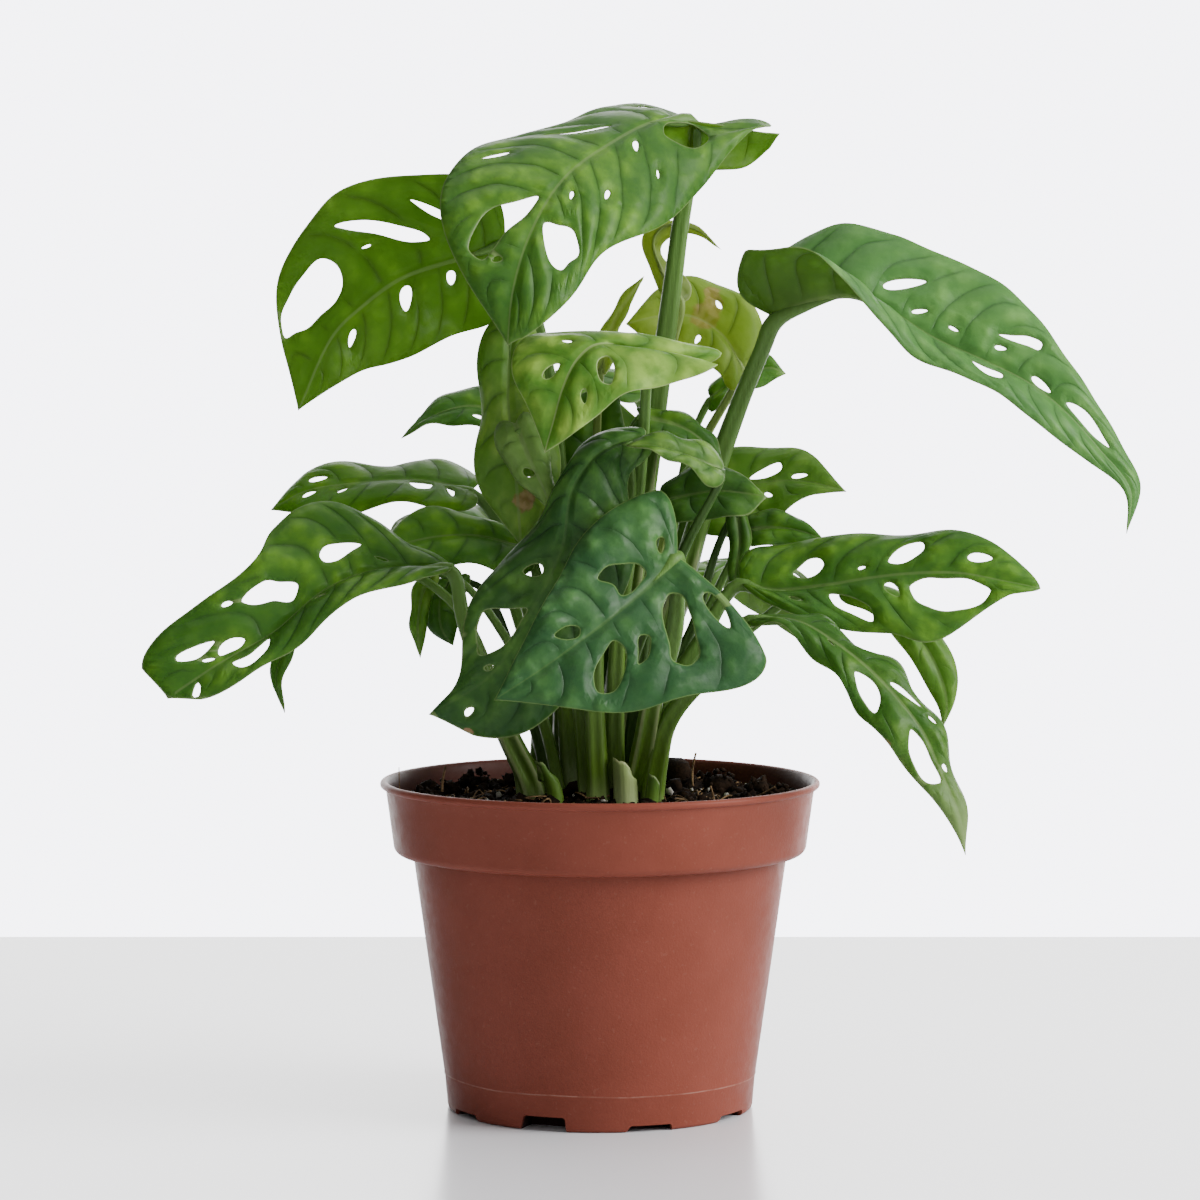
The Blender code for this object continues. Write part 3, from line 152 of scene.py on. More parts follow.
# Stalks. Right of CROWD_FROM they stand closer to the clump than the solids, which need a gap around them.
STALK_SIDES = 20
STALK_STEP = 2.2
STALK_TIP_RADIUS = 0.35
STALK_SHARES = (0.0, 0.14, 0.6, 0.93, 1.0)
STALK_SWELL = (1.5, 1.22, 0.88, 0.64, 0.72)
CROWDING = 0.42
CROWD_FROM = 8.0
CROWD_SHARES = (0.4, 0.85)
CROWD_HEIGHTS = (112.0, 142.0)
PLAIN_SHEATH = 0.15
SHEATHS = {"leaf_top": 0.35, "leaf_right_top": 0.5, "leaf_left_long": 0.3, "leaf_front": 0.3}
SHEATH_END = (0.45, 0.62)
SHEATH_RIM_TURN, SHEATH_RIM_WIDTH = 0.95, 0.22
SHEATH_HOLLOW = 0.5
STALK_GROOVE, STALK_GROOVE_WIDTH = 0.25, 0.5
STUB_RINGS = 22

# The top leaf's rear lobe droops behind it: its upper edge, its lower edge and how far it bulges back. Its
# near lobe shifts to the right and lifts: how far, and the x from which and to which that grows.
TOP_SHIFT, TOP_LIFT = (2.5, 30.0, 46.0), (8.0, 27.0, 46.0)
TOP_LOBE = (
    ((14, 2, 269.5), (25, 5, 268.8), (36, 13, 267.2), (43.5, 19, 265.8), (48.6, 22.5, 265.4)),
    ((15, 2, 261), (24, 5, 256.5), (34, 15, 255.6), (40, 21, 256.6), (46, 23, 261.5)),
    3.0,
)
FLAP_ROWS = 14
FLAP_COLUMNS = 30

# Brown dry spots: middles, read without their depth, and sizes
SPOTS = {
    "leaf_left_upright": (((-20, 0, 167), 3.2),),
    "leaf_left_inner": (((-20, 0, 167), 3.4),),
    "leaf_new_broad": (((29, 0, 216), 4.2), ((31, 0, 221), 3.0)),
    "leaf_under_yellow": (((-54, 0, 128), 2.2),),
    "leaf_right_drooping": (((74, 0, 104), 2.0), ((72, 0, 101), 1.6)),
    "leaf_low_left": (((-35, 0, 107), 1.6),),
}
DRY_LEAF = ((0.2, 0.09, 0.04), (0.34, 0.2, 0.11))
# How far the lower side darkens and lightens with the mottle, which holds painted light and shade
UNDER_SHADES = (0.62, 1.45)
LEAF_GLOSS = 0.18
STALK_GLOSS = 0.2

# Finishes of the leaves. The first one is full, and the others say what differs from it. dark and light are
# the mottled upper side, under the lower one, pale the midrib and rims, and glow the light through the blade.
# mottle, crease, rib, rim, blister, thin and tip say how strong a trait is, and ridge how high the midrib is.
# The mottle is partly the leaf's own blotches and partly painted light on the blister tops with painted shade
# between them. crease darkens the sunken veins, partly as their own tone and partly as painted shade. tip
# pales the end of the blade as a painted highlight. lit, shaded, backlit, inner and the darker inner look are
# copies of one leaf whose colours are set for how much light falls on the leaves that wear them: painted
# light and shade. The bluish look paints the sheen of the front leaf into its colour as a bluer tone: painted
# sheen.
LOOKS = {
    "green": dict(
        dark=(0.029, 0.098, 0.013), light=(0.13, 0.28, 0.025), under=(0.085, 0.17, 0.02),
        pale=(0.2, 0.28, 0.1), glow=(0.2, 0.42, 0.012), mottle_and_blister_light=1.0, crease=0.4, rib=0.4, ridge=1.0, rim=0.75,
        blister=0.5, cells=200.0, rough=0.44, thin=0.3, tip=0.0, stalk="green",
    ),
    "soft": dict(
        dark=(0.058, 0.165, 0.04), light=(0.165, 0.36, 0.085), under=(0.085, 0.18, 0.022), mottle_and_blister_light=0.8,
        crease=0.42, blister=0.35,
    ),
    # Painted sheen: the front leaf's colours are bluer to stand for the sheen on it.
    "bluish_painted_sheen": dict(
        dark=(0.015, 0.062, 0.017), light=(0.058, 0.158, 0.036), pale=(0.14, 0.23, 0.06), rib=0.16, ridge=0.5,
        blister=1.5, cells=150.0, thin=0.12,
    ),
    "dark": dict(
        dark=(0.015, 0.06, 0.012), light=(0.075, 0.18, 0.028), under=(0.045, 0.11, 0.014), rib=0.06,
        ridge=0.25, blister=2.0, cells=150.0, thin=0.15,
    ),
    # Painted shade: darker colours for the leaves deep inside the plant.
    "inner_painted_shade": dict(
        dark=(0.02, 0.07, 0.008), light=(0.08, 0.19, 0.02), under=(0.05, 0.12, 0.014), rib=0.25, ridge=0.5,
        thin=0.2, stalk="dark",
    ),
    "folded": dict(light=(0.17, 0.31, 0.05), stalk="dark"),
    "backlit": dict(
        dark=(0.04, 0.11, 0.006), light=(0.13, 0.24, 0.014), under=(0.08, 0.16, 0.009), thin=0.45,
    ),
    "lit": dict(
        dark=(0.05, 0.13, 0.006), light=(0.1, 0.22, 0.01), under=(0.1, 0.21, 0.008), glow=(0.2, 0.4, 0.01),
        thin=0.5,
    ),
    "shaded": dict(dark=(0.065, 0.155, 0.018), light=(0.21, 0.35, 0.06), under=(0.1, 0.2, 0.02), thin=0.35),
    "inner": dict(dark=(0.1, 0.2, 0.04), light=(0.17, 0.3, 0.07), under=(0.13, 0.24, 0.05), thin=0.3),
    # Its tip value paints a pale highlight over the end of the blade.
    "drooping": dict(
        dark=(0.024, 0.085, 0.008), light=(0.09, 0.19, 0.026), under=(0.06, 0.14, 0.02), tip=0.85,
    ),
    "young": dict(
        dark=(0.052, 0.17, 0.016), light=(0.38, 0.6, 0.09), under=(0.16, 0.28, 0.04), pale=(0.36, 0.46, 0.18),
        glow=(0.3, 0.5, 0.03), crease=0.35, rib=0.6, cells=120.0,
    ),
    "new": dict(
        dark=(0.1, 0.2, 0.02), light=(0.34, 0.45, 0.12), under=(0.22, 0.3, 0.08), pale=(0.4, 0.46, 0.2),
        glow=(0.5, 0.62, 0.1), cells=100.0, thin=0.45, stalk="new",
    ),
}
# Which look each leaf wears. Looks named after light paint that leaf's light and shade into its colours.
SKINS = {
    "leaf_right_top": "soft",
    "leaf_upper_left": "backlit",
    "leaf_front": "bluish_painted_sheen",
    "leaf_low_left": "dark",
    "leaf_left_upright": "shaded",
    "leaf_left_inner": "inner",
    "leaf_left_back": "backlit",
    "leaf_right_back": "shaded",
    "leaf_under_yellow": "shaded",
    "leaf_centre_right": "inner_painted_shade",
    "leaf_centre_folded": "folded",
    "leaf_right_strap": "shaded",
    "leaf_centre_back": "inner_painted_shade",
    "leaf_dark_strap": "inner_painted_shade",
    "leaf_under_dark": "inner_painted_shade",
    "leaf_right_drooping": "drooping",
    "leaf_centre_small": "young",
    "leaf_new_tip": "new",
    "leaf_new_broad": "new",
    "leaf_spear": "new",
}

# Finishes of the stalks: low down, high up, and the pale foot and sheath rims
STALKS = {
    "green": ("stalk_green", (0.1, 0.19, 0.022), (0.075, 0.16, 0.03), (0.26, 0.32, 0.14)),
    # Painted shade: darker stalks for the leaves in the middle of the plant
    "dark": ("stalk_painted_shade", (0.05, 0.1, 0.014), (0.03, 0.075, 0.012), (0.12, 0.17, 0.07)),
    "new": ("stalk_pale", (0.16, 0.22, 0.05), (0.18, 0.26, 0.06), (0.34, 0.4, 0.18)),
    "crown": ("crown_pale", (0.38, 0.46, 0.2), (0.24, 0.35, 0.09), (0.5, 0.5, 0.28)),
}

# Studio, in metres. Lights are name, place, aim, size and power.
TABLE_CORNERS = ((-1.6, -1.6), (1.6, -1.6), (1.6, 0.321), (-1.6, 0.321))
TABLE_THICKNESS = 0.03
TABLE_COLOUR = (0.84, 0.84, 0.87)
TABLE_ROUGHNESS = 0.22
TABLE_GLOSS = 0.4
LIGHTS = (
    ("key", (1.25, -0.35, 0.75), (0.0, 0.0, 0.15), (0.9, 0.9), 41.0),
    ("top", (0.1, 0.15, 1.5), (0.0, 0.0, 0.1), (1.5, 1.2), 11.0),
    ("front", (-0.25, -1.5, 0.75), (0.0, 0.0, 0.15), (1.2, 0.9), 5.5),
)
WORLD_LIGHT = 0.24
DARKEST_WORLD = 0.06
SIDE_SHARE, BACK_SHARE, TOP_SHARE = 0.3, 0.2, 0.25
WALL_LIGHT = 5.2
WALL_FROM, WALL_TO = 0.7, 0.96
BACKDROP = (6.1, 6.1, 6.6)
SENSOR_WIDTH, LENS = 36.0, 133.8
CAMERA_DOWN_DEG = 3.92


@dataclass
class Leaf:
    """One leaf with its petiole.

    Points are x, y, z. x and z are read in the plane of the pot's axis, along the line of sight from the
    front, and y is the depth. left and right are the reach from the midrib to each margin at the coarse
    or fine stations, for someone who looks down on the leaf with its tip ahead. lobes are how far the
    left and right side reach back past the petiole. A place on the blade is a share along the midrib from
    0 to 1 and one across it from -1 at the right margin to 1 at the left one. A hole is the place of its
    end near the midrib, the place of its other end and its width. A cut is an uneven hole and has the
    places along its edge.
    """

    name: str
    foot: tuple
    petiole: tuple
    midrib: tuple
    left: tuple
    right: tuple
    holes: tuple = ()
    cuts: tuple = ()
    lobes: tuple = (5.0, 5.0)
    stem: float = 2.6
    peak: float = 0.33
    full: float = 0.55
    arch: float = 1.5
    wave: float = 1.0
    waves: float = 2.5


LEAVES = (
    Leaf(
        "leaf_top", foot=(3, 5.5), lobes=(33, 8), stem=3.4, arch=2.0,
        petiole=((8, 5, 140), (15, 6, 190), (21, 8, 235)),
        midrib=(
            (25, 8, 269), (16, -2, 269), (4, -16, 263.5), (-10, -32, 253), (-19, -44, 238), (-23.5, -50, 223),
            (-25, -52, 208),
        ),
        left=((3, -11, -11), (7.5, -13, -25.5), (8, -10, -22), (9, -6, -19), (3.3, -2, -8.5)),
        right=((-9.5, 18, 3.5), (-13, 18, 4.8), (-21, 12, 9), (-24, 5, 9), (-11, 1, 5)),
        holes=(
            (0.52, -0.66, 0.57, -0.82, 1.7), (0.515, 0.2, 0.535, 0.24, 1.7), (0.405, 0.43, 0.43, 0.5, 2),
            (0.255, 0.55, 0.27, 0.62, 1.3), (0.8, -0.24, 0.82, -0.36, 1.3), (0.245, 0.13, 0.262, 0.24, 2.4),
            (0.27, -0.25, 0.42, -0.64, 1.4), (0.11, -0.4, 0.16, -0.66, 1.6),
        ),
        cuts=(
            (
                (0.765, -0.6), (0.69, -0.45), (0.65, -0.27), (0.605, -0.1), (0.665, -0.11), (0.735, -0.25),
                (0.79, -0.36), (0.828, -0.54), (0.82, -0.68), (0.788, -0.65),
            ),
            (
                (0.66, 0.12), (0.615, 0.3), (0.568, 0.58), (0.578, 0.74), (0.64, 0.7), (0.675, 0.67),
                (0.698, 0.43), (0.683, 0.23),
            ),
            (
                (0.132, 0.18), (0.068, 0.14), (0.036, 0.21), (0.045, 0.46), (0.13, 0.7), (0.155, 0.685),
                (0.162, 0.445), (0.154, 0.28),
            ),
        ),
    ),
    Leaf(
        "leaf_upper_left", foot=(-10, 6), lobes=(4, 4),
        petiole=((-10, 14, 150), (-14, 17, 200), (-22, 12, 230)),
        midrib=(
            (-26, 6, 235.5), (-36, 0, 232.5), (-54, -8, 226.5), (-65, -12, 218.5), (-72.5, -14, 211),
            (-82, -16, 190.5),
        ),
        left=((-1.5, -6, 17.5), (-3.3, -8, 24), (-12, -8, 25.5), (-13.5, -5, 18), (-7, -2, 9.5)),
        right=((3.3, 6, -17), (5.4, 8, -19), (6.8, 7, -18), (7, 5, -10.8), (4.2, 1, -2.2)),
        holes=(
            (0.455, 0.4, 0.485, 0.42, 0.9), (0.395, -0.14, 0.425, -0.46, 4), (0.22, -0.14, 0.235, -0.34, 2.8),
            (0.635, -0.25, 0.69, -0.47, 2.4),
        ),
        cuts=(
            (
                (0.605, 0.65), (0.575, 0.47), (0.593, 0.28), (0.638, 0.22), (0.71, 0.26), (0.772, 0.34),
                (0.82, 0.53), (0.868, 0.84), (0.845, 0.9), (0.757, 0.76), (0.68, 0.71),
            ),
            (
                (0.529, 0.76), (0.459, 0.66), (0.365, 0.49), (0.29, 0.34), (0.278, 0.28), (0.33, 0.29),
                (0.432, 0.48), (0.504, 0.66),
            ),
            ((0.323, 0.73), (0.261, 0.63), (0.218, 0.52), (0.211, 0.45), (0.25, 0.51), (0.305, 0.66)),
        ),
    ),
    Leaf(
        "leaf_right_top", foot=(11.8, 5.4), lobes=(7, 14), stem=3.5,
        petiole=((24, 8, 150), (37, 9, 190), (44, 6, 207)),
        midrib=(
            (47, 4, 216), (58.5, 0, 220.5), (68, -2, 222), (78.5, -3, 217.5), (90.5, -5, 210),
            (104.5, -8, 203.7), (117, -10, 197.5), (126.5, -12, 190), (136, -13, 179.5), (144, -14, 169),
            (143.3, -14, 157),
        ),
        left=((-2, 14, 15.5), (5.2, 14, 19.6), (7.3, 12, 19.8), (3.3, 6, 10.5), (3.5, 2, 0.5)),
        right=((-6.5, -14, 17), (-3, -14, -3.4), (-6.2, -12, -3.4), (-6.5, -6, -4.4), (-1.5, -1, -0.8)),
        holes=(
            (0.245, 0.24, 0.332, 0.56, 2.6), (0.314, 0.13, 0.347, 0.25, 1.1), (0.4, 0.2, 0.422, 0.19, 0.9),
            (0.505, 0.21, 0.53, 0.26, 1.3), (0.6, 0.1, 0.65, 0.1, 2.2),
        ),
        cuts=(
            (
                (0.506, 0.38), (0.536, 0.47), (0.575, 0.61), (0.605, 0.67), (0.602, 0.55), (0.572, 0.46),
                (0.539, 0.4),
            ),
            ((0.482, -0.45), (0.518, -0.42), (0.55, -0.38), (0.557, -0.57), (0.539, -0.67), (0.506, -0.6)),
            ((0.692, 0.16), (0.74, 0.46), (0.791, 0.42), (0.812, 0.38), (0.785, 0.18), (0.734, 0.12)),
        ),
    ),
    Leaf(
        "leaf_centre_small", foot=(4, -8), lobes=(6, 6), stem=2.2,
        petiole=((5, -14, 130), (10, -17, 165), (12.3, -24, 192)),
        midrib=(
            (12.6, -30, 202), (7.8, -32, 206.3), (3, -34, 208.5), (-2, -37, 208), (-6.7, -40, 203.5),
            (-10, -43, 196.5), (-12.4, -45, 188), (-15, -47, 179),
        ),
        left=((18, -6, 1.5), (13, -8, -11.7), (10.5, -7, -9.4), (6.2, -5, -7.4), (2.4, -2, -2.3)),
        right=((19.5, 4, 4), (-3.5, 11, 2), (-13, 8, 7), (-12.5, 4, 5.5), (-4.5, 1, 4)),
        holes=(
            (0.645, -0.37, 0.545, -0.2, 2.6), (0.572, 0.45, 0.614, 0.66, 2.2), (0.41, -0.3, 0.43, -0.45, 1.2),
        ),
        cuts=(
            (
                (0.39, 0.27), (0.35, 0.28), (0.353, 0.38), (0.416, 0.66), (0.461, 0.75), (0.482, 0.64),
                (0.449, 0.41),
            ),
        ),
    ),
    Leaf(
        "leaf_left_upright", foot=(-7, -1), stem=2.9,
        petiole=((-11, 4, 140), (-18, 5, 190), (-22, 0, 211)),
        midrib=((-24, -10, 214), (-25, -15, 193), (-23, -17, 174), (-21.5, -18, 153.5)),
        left=((6, 2, 1), (11, 4, 2), (9.5, 3, 1)),
        right=((-7, 2, 0), (-8, 3, 0), (-9.4, 2, 1)),
        holes=((0.7, 0.2, 0.74, 0.4, 2.4),),
    ),
    Leaf(
        "leaf_left_inner", foot=(-4, -8), lobes=(3, 3), stem=1.6,
        petiole=((-8, -12, 130), (-15, -21, 172)),
        midrib=((-23, -24, 187), (-19, -27, 177), (-15, -28, 168.5), (-13, -28, 162.5)),
        left=((4, 1, 2.5), (5, 2, 0.8), (2, 1, 0)),
        right=((-5, 2, -1), (-6.4, 3, -1.8), (-2.4, 1, -1)),
        holes=((0.51, -0.1, 0.56, -0.42, 2.8),),
    ),
    Leaf(
        "leaf_low_left", foot=(-0.5, -14.3), lobes=(4, 4), stem=2.5,
        petiole=((-1, -20, 130), (8, -23, 168)),
        midrib=(
            (12.4, -28, 184), (0, -33, 179), (-7.5, -36, 169), (-10.5, -39, 152.5), (-20, -42, 133.5),
            (-29.8, -43, 118.5), (-46.8, -42, 107.6),
        ),
        left=((3, -2, -7), (16, 4, -6), (18, 6, -8), (13, 4, -16), (3, 0, -10.5)),
        right=((-2.5, 5, 3.4), (-4.5, 6, 0.8), (-14, 6, 2.5), (-13.5, 4, 2.7), (-3.3, 1, 0.5)),
        holes=(
            (0.785, -0.1, 0.785, -0.3, 2), (0.488, -0.16, 0.507, -0.46, 3.6), (0.905, 0.46, 0.878, 0.36, 1),
        ),
        cuts=(
            (
                (0.716, -0.69), (0.668, -0.73), (0.632, -0.68), (0.614, -0.32), (0.602, -0.1), (0.64, -0.08),
                (0.689, -0.1), (0.725, -0.2), (0.755, -0.53),
            ),
        ),
    ),
    Leaf(
        "leaf_front", foot=(11.5, -9.4), lobes=(4, 6), stem=3.0,
        petiole=((18, -20, 110), (21, -32, 138)),
        midrib=(
            (21, -42, 151), (15, -46, 144.5), (4.8, -54, 135.5), (-5.6, -60, 127.5), (-16, -64, 120),
            (-29, -68, 111.5),
        ),
        left=((25, -8, -24.5), (16, -8, -24.5), (10.5, -6, -20.5), (8, -4, -13), (3, -1, -4)),
        right=((-4, 7, 17.5), (-12, 7, 18), (-9.5, 6, 13.5), (-6, 3, 9), (-2, 1, 3)),
        holes=((0.07, -0.3, 0.11, -0.42, 3), (0.045, 0.5, 0.095, 0.66, 4)),
        cuts=(
            (
                (0.371, -0.48), (0.323, -0.5), (0.26, -0.4), (0.194, -0.25), (0.18, -0.14), (0.218, -0.1),
                (0.275, -0.08), (0.323, -0.14), (0.325, -0.26),
            ),
            ((0.656, -0.4), (0.59, -0.34), (0.551, -0.16), (0.566, -0.09), (0.617, -0.16)),
            (
                (0.185, 0.17), (0.14, 0.15), (0.116, 0.21), (0.143, 0.33), (0.185, 0.48), (0.236, 0.68),
                (0.272, 0.72), (0.299, 0.66), (0.278, 0.5),
            ),
            (
                (0.599, 0.48), (0.515, 0.28), (0.452, 0.21), (0.428, 0.33), (0.47, 0.54), (0.548, 0.73),
                (0.614, 0.7),
            ),
            ((0.344, 0.31), (0.32, 0.35), (0.335, 0.43), (0.38, 0.54), (0.41, 0.55), (0.39, 0.45)),
        ),
    ),
    Leaf(
        "leaf_left_long", foot=(-18, -8), lobes=(2, 2), stem=2.9,
        petiole=((-26, -8, 104), (-37, -6, 133)),
        midrib=(
            (-40.5, -6, 148), (-61, -12, 147), (-75, -18, 141.5), (-89, -24, 130), (-103, -30, 122),
            (-118, -34, 112),
        ),
        left=((0, -12, -2), (4, -12, -4), (4, -10, -5), (3, -7, -5.5), (1.5, -3, -5)),
        right=((-5, 8, 6), (-9, 12, 19), (-8.5, 10, 21), (-7.2, 6, 16), (-14.5, 3, 2.6)),
        holes=(
            (0.45, 0.13, 0.42, 0.32, 1.4), (0.72, -0.76, 0.703, -0.69, 1.7), (0.83, -0.19, 0.805, -0.11, 0.9),
            (0.19, -0.12, 0.225, -0.2, 1.4),
        ),
        cuts=(
            (
                (0.392, -0.36), (0.368, -0.43), (0.326, -0.42), (0.254, -0.37), (0.293, -0.29),
                (0.353, -0.23), (0.383, -0.27),
            ),
            (
                (0.686, -0.63), (0.671, -0.69), (0.617, -0.65), (0.557, -0.46), (0.491, -0.22),
                (0.515, -0.15), (0.596, -0.34), (0.677, -0.56),
            ),
            ((0.848, -0.53), (0.809, -0.47), (0.77, -0.34), (0.791, -0.29), (0.842, -0.33), (0.855, -0.47)),
            ((0.79, -0.1), (0.765, -0.24), (0.737, -0.24), (0.71, -0.12), (0.725, -0.07), (0.765, -0.07)),
            ((0.773, 0.28), (0.713, 0.36), (0.64, 0.2), (0.656, 0.55), (0.71, 0.74), (0.752, 0.62)),
            ((0.911, 0.45), (0.893, 0.2), (0.888, 0.5), (0.898, 0.8), (0.92, 0.8)),
        ),
    ),
    Leaf(
        "leaf_left_back", foot=(-13, 13), stem=2.2,
        petiole=((-18, 26, 130), (-28, 34, 160)),
        midrib=((-35, 36, 169), (-50, 38, 171.5), (-68, 39, 170.5), (-80, 39, 168.5), (-89.5, 39, 163.5)),
        left=((0, -11, -5), (0, -12, -6.5), (-1, -7, -6.5)),
        right=((0, 14, 4.8), (0, 16, 4), (-1.5, 8, 5)),
        holes=(
            (0.112, 0.17, 0.12, 0.6, 2), (0.785, -0.38, 0.695, -0.3, 2.2), (0.818, 0.24, 0.752, 0.16, 1.8),
            (0.644, 0.34, 0.593, 0.22, 1.2),
        ),
        cuts=(((0.299, 0.19), (0.275, 0.53), (0.221, 0.45), (0.206, 0.14), (0.251, 0.12)),),
    ),
    Leaf(
        "leaf_left_wavy", foot=(-17, 6), stem=2.2, wave=1.6,
        petiole=((-16, 10, 120), (-17, 15, 145)),
        midrib=((-20, 16, 153), (-35, 16, 156.5), (-50, 15, 155), (-63, 13, 150)),
        left=((0, -6, -6), (0, -6, -8), (0, -4, -5)),
        right=((0, 4, 0.6), (0, 4, 7), (0, 3, 6.5)),
    ),
    Leaf(
        "leaf_left_small", foot=(-6, 13), stem=1.8,
        petiole=((-11, 30, 130), (-14, 30, 175)),
        midrib=((-22, 26, 189), (-36, 22, 191.5), (-47, 17, 188), (-54, 13, 183)),
        left=((1, -5, -6), (1, -5, -5), (1, -3, -0.8)),
        right=((-1, 5, 5), (-2, 5, 5), (-1, 3, 1.4)),
        holes=((0.33, 0.62, 0.4, 0.6, 1.5),),
    ),
    Leaf(
        "leaf_under_left", foot=(-21, -2), lobes=(2, 2), stem=1.5,
        petiole=((-29, 0, 116), (-40, 2, 138), (-57, 3, 147.5)),
        midrib=((-76, 0, 139), (-83, -1, 130), (-88, -3, 118), (-86, -4, 108)),
        left=((3, -2, 1), (2.4, -2, 0), (1.4, -1, 0)),
        right=((-3, 2, -1), (-2.4, 2, 0), (-1.4, 1, 0)),
    ),
    Leaf(
        "leaf_under_yellow", foot=(-11, -8), lobes=(2, 2), stem=1.5,
        petiole=((-20, 2, 118), (-38, 6, 144)),
        midrib=((-46, 5, 146), (-48.5, 5, 140), (-49.5, 4, 131), (-49, 4, 123)),
        left=((2.6, 0, 0), (2.6, 0, 0), (1.6, 0, 0)),
        right=((-2.5, 1, 0), (-2.6, 1, 0), (-1.5, 1, 0)),
    ),
    Leaf(
        "leaf_under_dark", foot=(-14, -1), lobes=(3, 3), stem=1.5,
        petiole=((-22, 9, 118), (-32, 16, 142)),
        midrib=((-41, 11, 144), (-43.5, 11, 138), (-43, 10, 131), (-40, 10, 126.5)),
        left=((5, -1, 1), (6, -1, 0), (3, 0, 0)),
        right=((-3, 1, 0), (-4, 1, -1), (-2, 1, -1)),
    ),
    Leaf(
        "leaf_new_tip", foot=(8, 12), lobes=(2, 2), stem=1.7,
        petiole=((10, 17, 150), (19, 15, 205)),
        midrib=(
            (22, 16, 220), (16.5, 17, 229), (14.5, 18, 237), (18.6, 18, 241), (26, 17, 239.5), (33, 16, 234),
        ),
        left=((4, 2, 2), (2.4, 2, -1.8), (1, 1, -2)),
        right=((-3.4, 2, -1), (-2.2, 3, 1.3), (0, 1, 1)),
    ),
    Leaf(
        "leaf_spear", foot=(1, 12), lobes=(0.5, 0.5), stem=1.7, peak=0.4,
        petiole=((-2, 18, 140), (-1, 18, 180)),
        midrib=((0, 17, 200), (2.5, 17, 211), (6.3, 16.5, 219), (12, 16, 227)),
        left=((-2, 1, 1), (-2, 1, 1), (-1, 1, 1)),
        right=((2, 1, -1), (2, 1, -1), (1, 1, 0)),
    ),
    Leaf(
        "leaf_new_broad", foot=(5, 19), stem=1.8,
        petiole=((12, 26, 140), (27, 31, 180)),
        midrib=((38.5, 23, 202), (33, 24, 211), (25, 25, 216), (16, 25, 216), (7, 24, 214)),
        left=((-3, -3, -5), (0, -4, -12), (0, -3, -8)),
        right=((6, 4, 9), (3, 6, 11), (0, 4, 7)),
        holes=((0.47, 0.4, 0.51, 0.62, 1.4), (0.36, -0.4, 0.4, -0.55, 1.6)),
    ),
    Leaf(
        "leaf_back_tip", foot=(12, 19), lobes=(2, 2), stem=1.6,
        petiole=((18, 38, 140), (24, 40, 180)),
        midrib=((30, 40, 194), (40, 42, 200), (46, 42, 202), (50.5, 42, 200.5)),
        left=((0, 3, 4), (0, 3, 4), (0, 2, 3.6)),
        right=((0, -3, -4), (0, -3, -4), (-1, -2, -4.5)),
    ),
    Leaf(
        "leaf_centre_dark", foot=(-4, 6.5), lobes=(3, 3), stem=1.8,
        petiole=((1, 2, 140), (6, 0, 175)),
        midrib=((11, -4, 189), (22, -5, 186), (28, -5, 182), (33.6, -5, 176)),
        left=((0.5, 4, 2.5), (3, 4, 2.2), (2, 2, 1.6)),
        right=((-2, -2, -6), (-2, -2, -6), (-1, -1, -3)),
    ),
    Leaf(
        "leaf_centre_folded", foot=(0, -2), lobes=(1, 1.5), stem=1.8,
        petiole=((10, -12, 125), (24, -22, 155)),
        midrib=((33.5, -27, 174), (25, -32, 177.5), (15, -37, 180.5), (7, -38, 181)),
        left=((0, -5, -4.5), (-1, -5, -2), (-1, -3, -0.7)),
        right=((0, 4, 4), (-1, 4, 5), (-1, 2, 3)),
    ),
    Leaf(
        "leaf_centre_right", foot=(7, -2), lobes=(3, 3), stem=1.8,
        petiole=((12, -5, 120), (14, -8, 150)),
        midrib=((17.8, -12, 166), (31.5, -14, 168.5), (39, -15, 168), (45.5, -16, 167)),
        left=((0, 3, 5), (1, 3, 7.5), (1, 2, 3.3)),
        right=((0, -3, -5.5), (0, -4, -6.8), (1, -3, -4.9)),
    ),
    Leaf(
        "leaf_right_back", foot=(15, 12), stem=2.2,
        petiole=((18, 17, 120), (21, 19, 150)),
        midrib=((25, 19, 166), (40, 19, 170.5), (55, 17, 171.2), (67, 14, 168.5)),
        left=((-2, 6, 8.5), (0, 6, 9.5), (0.5, 4, 6.6)),
        right=((2, -6, -8), (1, -6, -13.5), (-1, -4, -2.5)),
        holes=((0.644, 0.1, 0.745, 0.22, 1.2), (0.47, -0.27, 0.521, -0.38, 1.3)),
        cuts=(((0.385, 0.1), (0.464, 0.3), (0.575, 0.47), (0.583, 0.32), (0.512, 0.12), (0.428, 0.08)),),
    ),
    Leaf(
        "leaf_right_under", foot=(19, 5.4), lobes=(3, 3), stem=1.6,
        petiole=((24, 6, 120), (34, 9, 146)),
        midrib=((41, 8, 158), (48, 8, 158.5), (55, 7, 157.5), (62, 6, 154.5)),
        left=((0, 2, 4), (0, 2, 4.5), (0, 1, 2)),
        right=((0, -2, -4), (0, -2, -4), (0, -1, -2)),
    ),
    Leaf(
        "leaf_dark_strap", foot=(21, -2), lobes=(2, 2), stem=1.6,
        petiole=((24, 1, 110), (28, 5, 140), (34, 8.5, 158)),
        midrib=((37, 5, 164), (38, 4, 155), (37, 3, 147), (36, 3, 139)),
        left=((2.6, 0.7, 0), (2.8, 0.9, 0), (1.6, 0.5, 0)),
        right=((-2.6, 0.5, 0), (-2.8, 0.7, 0), (-1.6, 0.3, 0)),
    ),
    Leaf(
        "leaf_right_long", foot=(14.5, -2.4), lobes=(3, 2), stem=2.8, peak=0.42,
        petiole=((23, -8, 115), (33, -8, 138)),
        midrib=(
            (38, -8, 144), (46, -10, 141.5), (62, -14, 143), (74, -16, 145), (86, -18, 146.3),
            (98, -20, 146.3), (110, -22, 144), (120, -23, 142),
        ),
